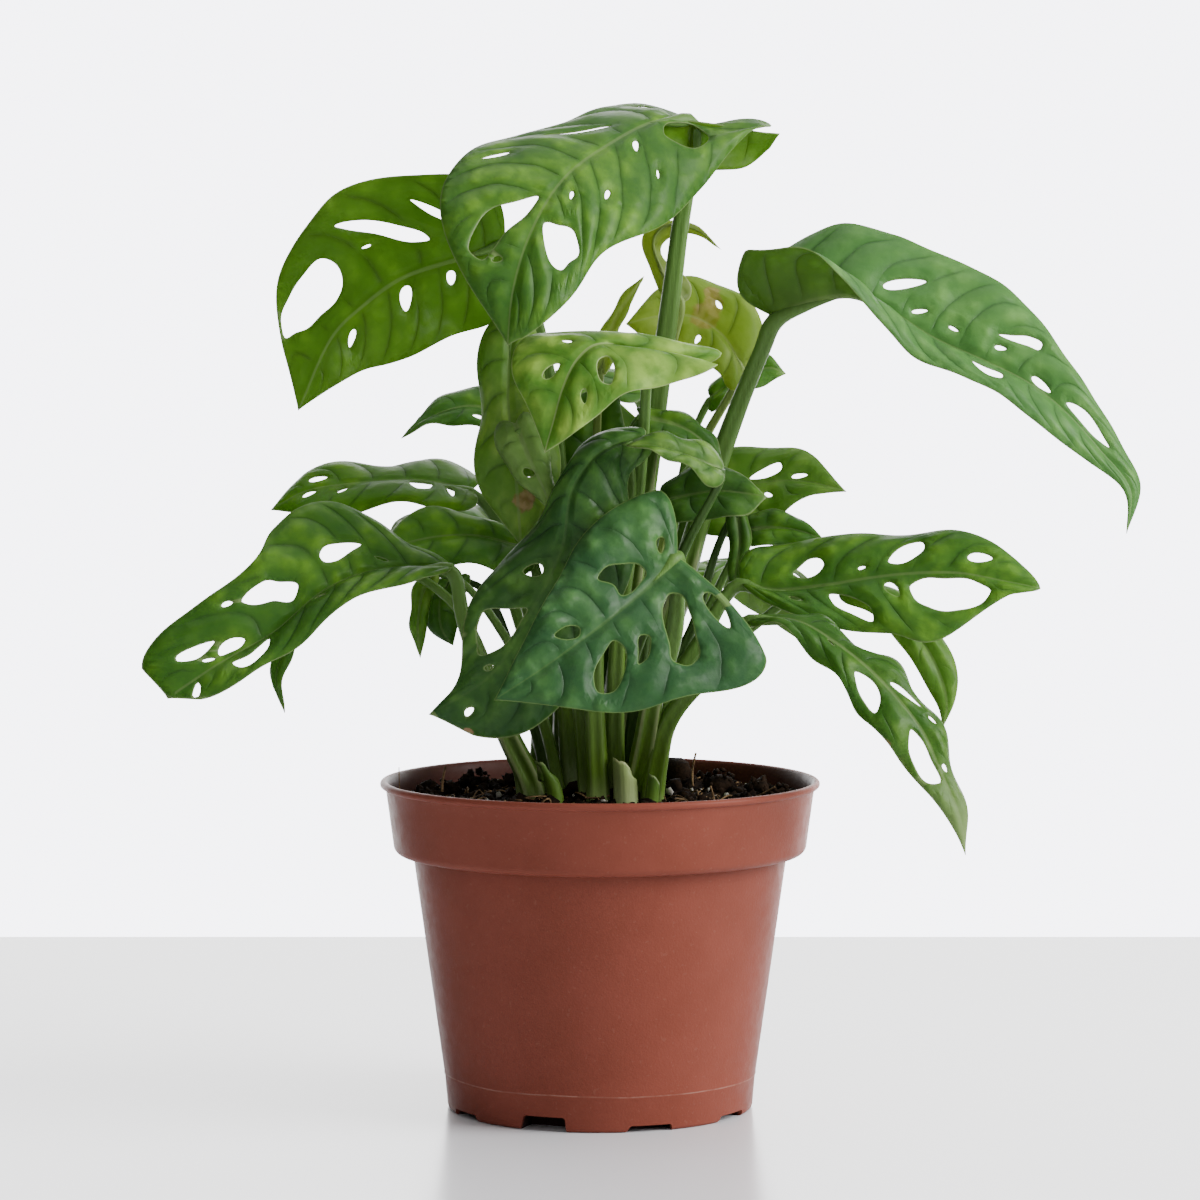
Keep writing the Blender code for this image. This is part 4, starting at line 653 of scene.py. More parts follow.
        left=((1, 9, 11), (2, 10, 12.6), (2, 10, 10.6), (3, 8, 10.6), (2.5, 4, 5.8)),
        right=((4, -8, -4), (2, -8, -10.8), (0, -8, -14.8), (-2, -6, -17.4), (0, -3, -2.8)),
        holes=(
            (0.4, 0.2, 0.425, 0.22, 1.2), (0.748, 0.36, 0.824, 0.53, 2.8), (0.49, -0.16, 0.54, -0.38, 2.8),
            (0.155, -0.42, 0.2, -0.5, 1.6),
        ),
        cuts=(
            (
                (0.185, 0.28), (0.209, 0.42), (0.239, 0.53), (0.272, 0.5), (0.287, 0.37), (0.269, 0.23),
                (0.233, 0.17),
            ),
            (
                (0.5, 0.26), (0.518, 0.48), (0.557, 0.66), (0.593, 0.7), (0.608, 0.5), (0.581, 0.3),
                (0.542, 0.2),
            ),
            (
                (0.575, -0.22), (0.602, -0.12), (0.689, -0.1), (0.788, -0.16), (0.836, -0.5), (0.821, -0.72),
                (0.731, -0.65), (0.65, -0.52), (0.59, -0.38),
            ),
            (
                (0.302, -0.26), (0.342, -0.29), (0.404, -0.46), (0.44, -0.62), (0.445, -0.8), (0.368, -0.68),
                (0.311, -0.48),
            ),
        ),
    ),
    Leaf(
        "leaf_right_strap", foot=(21.5, 11.5), lobes=(2, 2), stem=1.6,
        petiole=((30, 14, 112), (50, 12, 138)),
        midrib=(
            (66, 8, 142), (78, 4, 138), (87.5, 0, 128), (93, -3, 117.5), (94.6, -5, 110), (93.4, -5, 103.5),
        ),
        left=((2, 2, 3), (4.2, 2, 3), (3.6, 1, 2)),
        right=((-2, -2, -3), (-4.2, -1, -3), (-3.6, 0, -1)),
    ),
    Leaf(
        "leaf_right_drooping", foot=(18.6, -12), lobes=(3, 2), stem=2.8, wave=2.4, waves=4.5,
        petiole=((25, -18, 106), (36.5, -26, 128)),
        midrib=(
            (40, -30, 134), (53.6, -34, 133), (66.5, -38, 125.5), (77.5, -42, 116), (88, -45, 103),
            (93, -46, 92), (98, -47, 80), (100, -47, 69),
        ),
        left=((3, 8, 0), (3.4, 8, 0.9), (5.6, 7, 1.8), (4, 4, 1.2), (2, 2, 0)),
        right=((-1, -5, -2), (-3, -4, -6), (-7.7, -3, -6.5), (-6.5, -2, -4.5), (-2, -1, -1.5)),
        holes=(
            (0.464, 0.15, 0.567, 0.5, 1.8), (0.735, 0.25, 0.76, 0.3, 1.4), (0.25, -0.12, 0.275, -0.2, 1.2),
            (0.6, 0.5, 0.628, 0.62, 1.1),
        ),
        cuts=(
            (
                (0.371, -0.43), (0.404, -0.25), (0.446, -0.22), (0.488, -0.43), (0.503, -0.68),
                (0.452, -0.72), (0.404, -0.65),
            ),
            (
                (0.605, -0.26), (0.638, -0.17), (0.701, -0.17), (0.776, -0.3), (0.765, -0.6), (0.692, -0.74),
                (0.635, -0.56),
            ),
        ),
    ),
    Leaf(
        "leaf_centre_back", foot=(3, 27), lobes=(3, 3), stem=1.8,
        petiole=((2.5, 26.5, 112), (0.5, 26, 132)),
        midrib=((-1.5, 25.5, 146), (-3, 25, 160), (-3, 24, 176), (0, 24, 190), (5, 23.5, 199)),
        left=((-9, -1, 1), (-16, -1.5, 3), (-9, -1, 4)),
        right=((8, -1, 0), (13, -2, -2), (7, -1, -3)),
    ),
    Leaf(
        "leaf_back_high", foot=(-2, 19), lobes=(8, 8),
        petiole=((-2, 36, 130), (-2, 50, 175)),
        midrib=((-2, 58, 196), (-2, 74, 202), (0, 92, 196), (2, 108, 184), (3, 118, 170)),
        left=((-14, 0, -2), (-20, 0, -5), (-9, 0, -4)),
        right=((14, 0, -2), (20, 0, -5), (9, 0, -4)),
        holes=(
            (0.2, 0.25, 0.38, 0.68, 6), (0.2, -0.25, 0.38, -0.68, 6), (0.45, 0.25, 0.6, 0.66, 5),
            (0.47, -0.22, 0.62, -0.62, 5), (0.1, 0.3, 0.13, 0.5, 3), (0.68, 0.22, 0.76, 0.5, 3),
        ),
    ),
    Leaf(
        "leaf_back_left", foot=(-9, 20), lobes=(6, 6), stem=2.3,
        petiole=((-16, 36, 115), (-24, 50, 140)),
        midrib=((-28, 58, 157), (-34, 73, 164), (-43, 91, 163), (-50, 106, 157), (-56, 115, 149)),
        left=((-13, -4, -2), (-17, -6, -5), (-8, -3, -4)),
        right=((12, 6, -2), (15, 8, -5), (7, 4, -3)),
        holes=(
            (0.24, 0.25, 0.42, 0.7, 5), (0.22, -0.25, 0.4, -0.68, 5), (0.47, 0.22, 0.64, 0.64, 5),
            (0.5, -0.24, 0.64, -0.62, 4), (0.1, -0.3, 0.13, -0.5, 2.4),
        ),
    ),
    Leaf(
        "leaf_back_right", foot=(12, 26), lobes=(6, 6), stem=2.3,
        petiole=((20, 42, 112), (28, 54, 134)),
        midrib=((32, 60, 146), (38, 72, 150), (48, 90, 145), (56, 104, 134), (60, 112, 124)),
        left=((-12, 6, -2), (-14, 8, -5), (-6, 4, -4)),
        right=((13, -5, -2), (15, -6, -6), (7, -3, -4)),
        holes=(
            (0.24, 0.25, 0.4, 0.66, 5), (0.24, -0.25, 0.42, -0.7, 5), (0.48, 0.22, 0.62, 0.62, 4),
            (0.5, -0.24, 0.64, -0.62, 4.4), (0.1, 0.3, 0.13, 0.5, 2.4),
        ),
    ),
)


@dataclass
class Stub:
    """A short old stem: its place in the soil, its top and its radius."""

    name: str
    foot: tuple
    top: tuple
    radius: float


STUBS = (
    Stub("stem_stub_front", (7, -16.3), (6, -17.5, 99), 3.2),
    Stub("stem_stub_left", (-12, -15), (-16, -17, 98), 2.0),
    Stub("stem_stub_right", (14, -17.5), (14.6, -18.3, 94), 1.8),
)


def from_front(point):
    """Moves a point that is read in the plane of the pot's axis along the line of sight to its depth."""
    x, y, z = point
    spread = (EYE_DISTANCE + y) / EYE_DISTANCE
    return np.array((x * spread, y, EYE_HEIGHT + (z - EYE_HEIGHT) * spread))


def run_along(line):
    """The length from the start of a line to each of its points."""
    return np.concatenate(([0.0], np.cumsum(np.linalg.norm(np.diff(line, axis=0), axis=1))))


def smooth_values(knots, values, wanted):
    """Reads a smooth curve through the values at the wanted places, held level past its ends."""
    slopes = np.gradient(values, knots, axis=0)
    wanted = np.clip(wanted, knots[0], knots[-1])
    start = np.clip(np.searchsorted(knots, wanted, side="right") - 1, 0, len(knots) - 2)
    span = (knots[start + 1] - knots[start])[:, None]
    t = (wanted - knots[start])[:, None] / span
    near = (2 * t**3 - 3 * t**2 + 1) * values[start] + (t**3 - 2 * t**2 + t) * span * slopes[start]
    far = (3 * t**2 - 2 * t**3) * values[start + 1] + (t**3 - t**2) * span * slopes[start + 1]
    return near + far


def smooth_path(points, wanted):
    """Reads a smooth curve through the points at the wanted shares of its length."""
    points = np.array(points, dtype=float)
    knots = np.concatenate(([0.0], np.cumsum(np.linalg.norm(np.diff(points, axis=0), axis=1) ** 0.5)))
    curve = smooth_values(knots, points, np.linspace(0.0, knots[-1], 12 * len(points)))
    run = run_along(curve)
    return along(run / run[-1], curve, wanted)


def along(places, values, wanted):
    """Reads a row of vectors at the wanted places."""
    return np.stack([np.interp(wanted, places, values[:, axis]) for axis in range(3)], axis=-1)


def unit(vectors):
    return vectors / np.maximum(np.linalg.norm(vectors, axis=-1, keepdims=True), 1e-9)


def ease(value, low, high):
    """Goes smoothly from 0 at the low value to 1 at the high one."""
    share = np.clip((value - low) / (high - low), 0.0, 1.0)
    return share * share * (3 - 2 * share)


def bell(value, middle, width):
    return np.exp(-(((value - middle) / width) ** 2))


def full_turn(count):
    return np.linspace(0.0, math.tau, count, endpoint=False)


def circle(turn, side, other):
    """The points of a unit circle that lies along two directions."""
    return np.cos(turn)[:, None] * side + np.sin(turn)[:, None] * other


class Blade:
    """The curved surface of a leaf. u runs along the midrib from 0 to 1 and v across it from -1 to 1."""

    def __init__(self, leaf):
        self.leaf = leaf
        self.places = np.linspace(0.0, 1.0, 121)
        self.spine = smooth_path([from_front(point) for point in leaf.midrib], self.places)
        self.ahead = unit(np.gradient(self.spine, axis=0))
        self.length = np.linalg.norm(np.diff(self.spine, axis=0), axis=1).sum()
        self.stations = np.array(COARSE_STATIONS if len(leaf.left) == 3 else FINE_STATIONS)
        shares = self.fullness(self.stations)[:, None]
        self.left, self.right = np.array(leaf.left) / shares, np.array(leaf.right) / shares
        self.left_width = np.linalg.norm(self.left, axis=1).mean()
        self.right_width = np.linalg.norm(self.right, axis=1).mean()

    def fullness(self, u):
        """The width at u as a share of the widest."""
        leaf = self.leaf
        tail = leaf.full * (1 - leaf.peak) / leaf.peak
        return (u / leaf.peak) ** leaf.full * ((1 - u) / (1 - leaf.peak)) ** tail

    def width(self, v):
        """The mean reach of the half that v lies on."""
        return np.where(v >= 0, self.left_width, self.right_width)

    def sweep(self, u, v):
        """How far the margin beside u is swept back towards the petiole, which makes the basal lobes."""
        peak = LOBE_START / (LOBE_START + LOBE_END)
        lobe = np.where(v >= 0, *self.leaf.lobes)
        return lobe * (u / peak) ** LOBE_START * ((1 - u) / (1 - peak)) ** LOBE_END * v**2

    def across(self, u, v):
        left, right = (smooth_values(self.stations, side, u) for side in (self.left, self.right))
        return np.where(v[:, None] >= 0, left, right)

    def up_at_midrib(self, u):
        """The way that the upper side faces along the midrib, halfway between its two halves."""
        ahead, one = along(self.places, self.ahead, u), np.ones(len(u))
        left, right = self.across(u, one), self.across(u, -one)
        return unit(unit(np.cross(ahead, left)) + unit(np.cross(right, ahead)))

    def point(self, u, v):
        u, v = np.asarray(u, dtype=float), np.asarray(v, dtype=float)
        leaf, edge = self.leaf, np.abs(v)
        ahead, across = along(self.places, self.ahead, u), self.across(u, v)
        up = unit(np.cross(ahead, across)) * np.where(v >= 0, 1.0, -1.0)[:, None]
        full = self.fullness(u)
        ripple = np.sin(math.tau * leaf.waves * u + 2.0 * np.sign(v)) * edge**2
        rise = (4 * leaf.arch * edge * (1 - edge) + leaf.wave * ripple) * full
        flat = along(self.places, self.spine, u) + across * (full * edge)[:, None]
        return flat - ahead * self.sweep(u, v)[:, None] + up * rise[:, None]

    def to_flat(self, u, v):
        """Lays the surface out flat, in millimetres along and across the midrib."""
        return np.stack([self.length * u - self.sweep(u, v), v * self.fullness(u) * self.width(v)], axis=-1)

    def from_flat(self, flat):
        """Finds u and v of points on the flat layout, away from the base and the tip."""
        x, y = flat[:, 0], flat[:, 1]
        width = self.width(y)
        u, v = np.clip(x / self.length, 0.05, 0.97), np.zeros(len(x))
        for _ in range(40):
            v = np.clip(y / (width * self.fullness(u)), -1.0, 1.0)
            u = 0.5 * u + 0.5 * np.clip((x + self.sweep(u, v)) / self.length, 0.02, 0.98)
        return u, v

    def phase(self, u, v):
        """Counts the side veins along the leaf. They curve towards the tip and pass between the holes."""
        count = max(4.0, self.length / VEIN_SPACING)

        def plain(u, v):
            bent = u - VEIN_LEAN * np.abs(v) - VEIN_CURVE * np.abs(v) ** 2.5
            return count * bent + VEIN_STAGGER * (v > 0)

        value, pull, weight = plain(u, v), np.zeros_like(u), np.full_like(u, 0.15)
        middles = [((hole[0] + hole[2]) / 2, (hole[1] + hole[3]) / 2) for hole in self.leaf.holes]
        for middle_u, middle_v in middles + [np.mean(cut, axis=0) for cut in self.leaf.cuts]:
            centre = plain(np.array([middle_u]), np.array([middle_v]))[0]
            shift = math.floor(centre) + 0.5 - centre
            near = np.exp(-(((u - middle_u) * count / 1.1) ** 2) - ((v - middle_v) / 0.45) ** 2)
            near = np.where(v * middle_v > 0, near, 0.0)
            pull, weight = pull + near * shift, weight + near
        return value + pull / weight


def closed_curve(points, count):
    """Reads a smooth closed curve through the points at even steps."""
    ring = np.concatenate([points[-3:], points, points[:4]])
    knots = run_along(ring)
    return smooth_values(knots, ring, np.linspace(knots[3], knots[3 + len(points)], count, endpoint=False))


def margin_loop(blade):
    """Walks the margin from the base along the left side to the tip and back along the right side."""
    fine = np.linspace(0.0, 1.0, 600) ** 1.5
    sides = []
    for side in (1.0, -1.0):
        run = run_along(blade.point(fine, np.full(len(fine), side)))
        count = max(12, round(run[-1] / MARGIN_STEP))
        sides.append(np.interp(np.linspace(0.0, run[-1], count + 1), run, fine))
    u = np.concatenate((sides[0], sides[1][-2:0:-1]))
    v = np.concatenate((np.ones(len(sides[0])), -np.ones(len(sides[1]) - 2)))
    return u, v


def hole_loop(blade, hole):
    """Walks the edge of one hole on the flat layout. It is blunt near the midrib and narrower outside."""
    ends = blade.to_flat(np.array(hole[0:3:2]), np.array(hole[1:4:2]))
    half = (ends[1] - ends[0]) / 2
    aside = unit(np.array((-half[1], half[0]))) * hole[4] / 2
    count = int(max(14, math.pi * (np.linalg.norm(half) + hole[4] / 2) / HOLE_STEP))
    turn = full_turn(count)
    swell = np.sin(turn) * (1 - HOLE_TAPER * np.cos(turn))
    return ends.mean(axis=0) + np.cos(turn)[:, None] * half + swell[:, None] * aside


def cut_loop(blade, cut):
    """Walks the edge of one uneven hole on the flat layout."""
    outline = blade.to_flat(*np.array(cut).T)
    around = np.linalg.norm(outline - np.roll(outline, 1, axis=0), axis=1).sum()
    return closed_curve(outline, int(around / HOLE_STEP))


def field_places(blade):
    """Places spread over both halves of the blade, with closer rows beside the midrib."""
    places = []
    for u in np.linspace(0.0, 1.0, int(blade.length / BLADE_STEP) + 2)[1:-1]:
        places.append((u, 0.0))
        for side, width in ((1, blade.left_width), (-1, blade.right_width)):
            half = width * blade.fullness(u)
            rows = [*BESIDE_MIDRIB, *np.arange(BESIDE_MIDRIB[-1] + BLADE_STEP, half, BLADE_STEP)]
            places += [(u, side * row / half) for row in rows if row < half - 0.4]
    return np.array(places)


def inside(loop, points):
    """Tells which points lie inside a closed loop."""
    x, y = points[:, 0, None], points[:, 1, None]
    x0, y0 = loop[:, 0], loop[:, 1]
    x1, y1 = np.roll(x0, -1), np.roll(y0, -1)
    crosses = (y0 > y) != (y1 > y)
    rise = np.where(y1 == y0, 1.0, y1 - y0)
    return np.count_nonzero(crosses & (x < x0 + (y - y0) * (x1 - x0) / rise), axis=1) % 2 == 1


def nearest(points, others):
    """The distance from each point to the nearest of the others."""
    result = np.empty(len(points))
    for start in range(0, len(points), 2000):
        gap = points[start : start + 2000, None] - others[None]
        result[start : start + 2000] = np.sqrt((gap**2).sum(axis=-1).min(axis=1))
    return result


def closed_edges(first, count):
    return [(first + index, first + (index + 1) % count) for index in range(count)]


def blade_sheet(blade):
    """Splits the perforated blade into triangles. Gives u, v, the distance to a rim and the triangles."""
    margin_u, margin_v = margin_loop(blade)
    loops = [blade.to_flat(margin_u, margin_v)] + [hole_loop(blade, hole) for hole in blade.leaf.holes]
    loops += [cut_loop(blade, cut) for cut in blade.leaf.cuts]
    rims = np.concatenate(loops)
    field = field_places(blade)
    flat = blade.to_flat(field[:, 0], field[:, 1])
    clear = nearest(flat, rims) > RIM_CLEARANCE
    for loop in loops[1:]:
        clear &= ~inside(loop, flat)
    field, flat = field[clear], flat[clear]
    edges, first = [], 0
    for loop in loops:
        edges += closed_edges(first, len(loop))
        first += len(loop)
    wanted = [Vector(point) for point in np.concatenate([rims, flat])]
    corners, _, faces, origins, _, _ = delaunay_2d_cdt(wanted, edges, [], 1, 1e-5)
    corners = np.array([tuple(corner) for corner in corners])
    u, v = blade.from_flat(corners)
    unknown = np.full(first - len(margin_u), np.nan)
    known_u = np.concatenate([margin_u, unknown, field[:, 0]])
    known_v = np.concatenate([margin_v, unknown, field[:, 1]])
    for index, origin in enumerate(origins):
        found = [number for number in origin if not math.isnan(known_u[number])]
        if found:
            u[index], v[index] = known_u[found[0]], known_v[found[0]]
    faces = np.array(faces)
    middles = corners[faces].mean(axis=1)
    kept = np.ones(len(faces), dtype=bool)
    for loop in loops[1:]:
        kept &= ~inside(loop, middles)
    used, renumbered = np.unique(faces[kept], return_inverse=True)
    corners, u, v = corners[used], u[used], v[used]
    return u, v, nearest(corners, rims), renumbered.reshape(-1, 3)


def sheet_normals(points, faces):
    corners = points[faces]
    normals = np.cross(corners[:, 1] - corners[:, 0], corners[:, 2] - corners[:, 0])
    lean = np.zeros_like(points)
    for place in range(3):
        np.add.at(lean, faces[:, place], normals)
    return unit(lean)


def half_thickness(edge):
    """Half of a blade's thickness, which grows from its rims inwards."""
    return (EDGE_THICKNESS + (MIDDLE_THICKNESS - EDGE_THICKNESS) * ease(edge, 0.0, THICK_FROM_EDGE)) / 2


def two_sided(faces, count):
    """Faces of both sides of a sheet and of its rims. The points of the lower side follow the upper ones."""
    ways = {(face[i], face[(i + 1) % 3]) for face in faces.tolist() for i in range(3)}
    solid = faces.tolist() + (faces[:, ::-1] + count).tolist()
    for a, b in sorted(ways):
        if (b, a) not in ways:
            solid += [(b, a, a + count), (b, a + count, b + count)]
    return solid


def blade_parts(blade, number, ridge_share):
    """The two faces of the blade with its relief, and the values that its material reads."""
    u, v, edge, faces = blade_sheet(blade)
    points = blade.point(u, v)
    if blade.leaf.name == "leaf_top":
        shift, lift = (most * ease(points[:, 0], low, high) for most, low, high in (TOP_SHIFT, TOP_LIFT))
        points += np.stack([shift, 0.0 * v, lift], axis=-1)
    normals = sheet_normals(points, faces)
    aside = np.abs(v) * (blade.width(v) * blade.fullness(np.clip(u, 1e-4, 1 - 1e-4)))
    phase = blade.phase(u, v)
    size = min(1.0, blade.length / 90.0)
    fade = ease(aside, 0.5, 6.0) * ease(edge, 0.0, 5.0)
    vary = 0.65 + 0.5 * np.sin(0.9 * phase + 3.0 * v + number) * np.sin(0.13 * aside + 1.9 * number)
    puff = PUFF * size * vary * (np.abs(np.sin(math.pi * phase)) ** 0.8 - 0.55) * fade
    swing = np.sin(0.31 * points[:, 0] + 1.3 * number) * np.sin(0.27 * points[:, 2] + 0.7 * number)
    puff += SWELL * size * swing * ease(aside, 1.0, 8.0)
    rib = (1.0 - 0.75 * u) * size
    groove = MIDRIB_GROOVE * rib * bell(aside, 0.0, 0.6)
    ridge = MIDRIB_RIDGE * ridge_share * rib * bell(aside, 0.0, 0.35 + 0.75 * rib) * ease(edge, 0.0, 1.0)
    half, count = half_thickness(edge), len(points)
    upper = points + normals * (puff + half - groove)[:, None]
    lower = points + normals * (puff - half - ridge)[:, None]
    values = {key: np.tile(row, 2) for key, row in dict(vein=phase, edge=edge, aside=aside, run=u).items()}
    values["upper"] = np.concatenate((np.ones(count), np.zeros(count)))
    return np.concatenate([upper, lower]), two_sided(faces, count), values


def flap_parts(upper_edge, lower_edge, sag):
    """A thin drooping lobe between two edges, given like the petioles. It bulges away from the viewer."""
    shares, edges = np.linspace(0.0, 1.0, FLAP_COLUMNS), (upper_edge, lower_edge)
    high, low = (smooth_path([from_front(point) for point in edge], shares) for edge in edges)
    points, faces = [], []
    for down in np.linspace(0.0, 1.0, FLAP_ROWS):
        bulge = sag * np.sin(math.pi * down) * np.sin(math.pi * shares) ** 0.6
        points.append(high + (low - high) * down + bulge[:, None] * np.array((0.0, 1.0, 0.2)))
    for row in range(FLAP_ROWS - 1):
        for a in range(row * FLAP_COLUMNS, (row + 1) * FLAP_COLUMNS - 1):
            faces += [(a, a + 1, a + FLAP_COLUMNS + 1), (a, a + FLAP_COLUMNS + 1, a + FLAP_COLUMNS)]
    points, faces = np.concatenate(points), np.array(faces)
    count = len(points)
    row, column = np.divmod(np.arange(count), FLAP_COLUMNS)
    border = (row == 0) | (row == FLAP_ROWS - 1) | (column == 0) | (column == FLAP_COLUMNS - 1)
    edge = nearest(points, points[border])
    offset = sheet_normals(points, faces) * half_thickness(edge)[:, None]
    values = dict(vein=np.tile(np.linspace(0.0, 4.0, FLAP_COLUMNS), 2 * FLAP_ROWS), edge=np.tile(edge, 2))
    values.update(aside=np.full(2 * count, 9.0), run=np.full(2 * count, 0.3), upper=np.zeros(2 * count))
    return np.concatenate([points + offset, points - offset]), two_sided(faces, count), values


def frames(path, hint):
    """Two directions across a path at each of its points, which twist as little as they can."""
    ahead = unit(np.gradient(path, axis=0))
    side = unit(np.cross(ahead[0], hint))
    for way in ahead:
        side = unit(side - way * np.dot(side, way))
        yield side, np.cross(way, side)


def ring_faces(sides, rings):
    """Faces of a tube that is made of rings of points, with both ends closed."""
    faces = [tuple(reversed(range(sides)))]
    for start in range(0, sides * (rings - 1), sides):
        faces += [(a, b, b + sides, a + sides) for a, b in closed_edges(start, sides)]
    faces.append(tuple(range(sides * (rings - 1), sides * rings)))
    return faces


def tube(path, radii, sides):
    """Sweeps a polygon along a path and closes both ends."""
    turn, rings = full_turn(sides), []
    for point, radius, (side, other) in zip(path, radii, frames(path, (0.3, 0.9, 0.2))):
        rings.append(point + radius * circle(turn, side, other))
    return np.concatenate(rings), ring_faces(sides, len(path))


def rib_path(blade, start, neck):
    """The line under the start of the midrib, or one point if the blade hangs back beside its petiole."""
    shares = np.array((0.0, RIB_SHARE / 2, RIB_SHARE))
    sink = np.linspace(neck * RIB_SINK, RIB_END_SINK, 3)[:, None]
    under = blade.point(shares, np.zeros(3)) - blade.up_at_midrib(shares) * sink
    if np.dot(unit(under[0] - start), unit(under[2] - under[0])) > SHARPEST_TURN:
        return list(under)
    return [blade.point((HANGING_SHARE,), (0.0,))[0]]


def stalk_path(leaf, blade):
    """The line of a petiole from the soil to the blade, with the share of each point and of the joint."""
    x, y = leaf.foot
    points = [np.array((x, y, SOIL_LEVEL + rise)) for rise in (-ROOT_DEPTH, -2.0, FOOT_STRAIGHT)]
    points += [from_front(point) for point in leaf.petiole]
    rib = rib_path(blade, points[-1], leaf.stem * NECK_SHARE)
    points += rib
    run = np.cumsum(np.linalg.norm(np.diff(np.array(points), axis=0), axis=1))
    joint = run[-len(rib)] / run[-1]
    wanted = np.linspace(0.0, 1.0, int(run[-1] / STALK_STEP))
    return smooth_path(points, wanted), wanted, joint, len(rib) > 1


def stalk_parts(leaf, blade):
    """The grooved petiole from the soil to the blade. Its lower part has a sheath with thin rims."""
    path, wanted, joint, has_rib = stalk_path(leaf, blade)
    share = np.clip(wanted / joint, 0.0, 1.0)
    crowd = CROWDING * (1 - ease(share, *CROWD_SHARES)) * (1 - ease(path[:, 2], *CROWD_HEIGHTS))
    path[:, 0] -= crowd * np.maximum(0.0, path[:, 0] - CROWD_FROM)
    radii = np.interp(share, STALK_SHARES, STALK_SWELL) * leaf.stem
    if has_rib:
        neck = radii[np.searchsorted(wanted, joint) - 1]
        radii = np.where(wanted > joint, np.interp(wanted, (joint, 1.0), (neck, STALK_TIP_RADIUS)), radii)
    wing = SHEATHS.get(leaf.name, PLAIN_SHEATH) * ease(share, 0.0, 0.1) * (1 - ease(share, *SHEATH_END))
    groove = STALK_GROOVE * ease(share, 0.0, 0.2) * (1 - ease(share, 0.97, 1.0)) + SHEATH_HOLLOW * wing
    turn, rings = full_turn(STALK_SIDES), []
    hollow = bell(turn, math.pi / 2, STALK_GROOVE_WIDTH)
    rims = bell(turn, SHEATH_RIM_TURN, SHEATH_RIM_WIDTH)
    rims = rims + bell(turn, math.pi - SHEATH_RIM_TURN, SHEATH_RIM_WIDTH)
    for index, (side, other) in enumerate(frames(path, (0.0, 1.0, 0.0))):
        reach = radii[index] * (1 + wing[index] * rims - groove[index] * hollow)
        rings.append(path[index] + reach[:, None] * circle(turn, side, other))
    rim_values = np.minimum(1.0, wing * 3)[:, None] * rims
    values = dict(edge=rim_values.ravel(), run=np.repeat(wanted, STALK_SIDES))
    return np.concatenate(rings), ring_faces(STALK_SIDES, len(path)), values


def show(thing):
    bpy.context.scene.collection.objects.link(thing)
    return thing


def plain_object(name, points, faces, scale=MM):
    mesh = bpy.data.meshes.new(name)
    mesh.from_pydata((np.asarray(points) * scale).tolist(), [], faces)
    return show(bpy.data.objects.new(name, mesh))


def make_piece(name, parts, materials, node):
    """Joins several (points, faces, values) parts, one material each, into one piece that replaces a node."""
    faces, numbers, first = [], [], 0
    for index, part in enumerate(parts):
        faces += [tuple(first + corner for corner in face) for face in part[1]]
        numbers += [index] * len(part[1])
        first += len(part[0])
    thing = plain_object(name, np.concatenate([part[0] for part in parts]), faces)
    mesh = thing.data
    for key in sorted({key for part in parts for key in part[2]}):
        row = np.concatenate([part[2].get(key, np.zeros(len(part[0]))) for part in parts])
        mesh.attributes.new(key, "FLOAT", "POINT").data.foreach_set("value", row.astype(np.float32))
    for material in materials:
        mesh.materials.append(material)
    mesh.polygons.foreach_set("material_index", numbers)
    mesh.polygons.foreach_set("use_smooth", [True] * len(faces))
    mesh.update()
    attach(thing, ROOT)
    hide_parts(node)
    return thing


def shade(colour, share):
    """Multiplies a colour, or a place, by a number."""
    return tuple(share * part for part in colour)


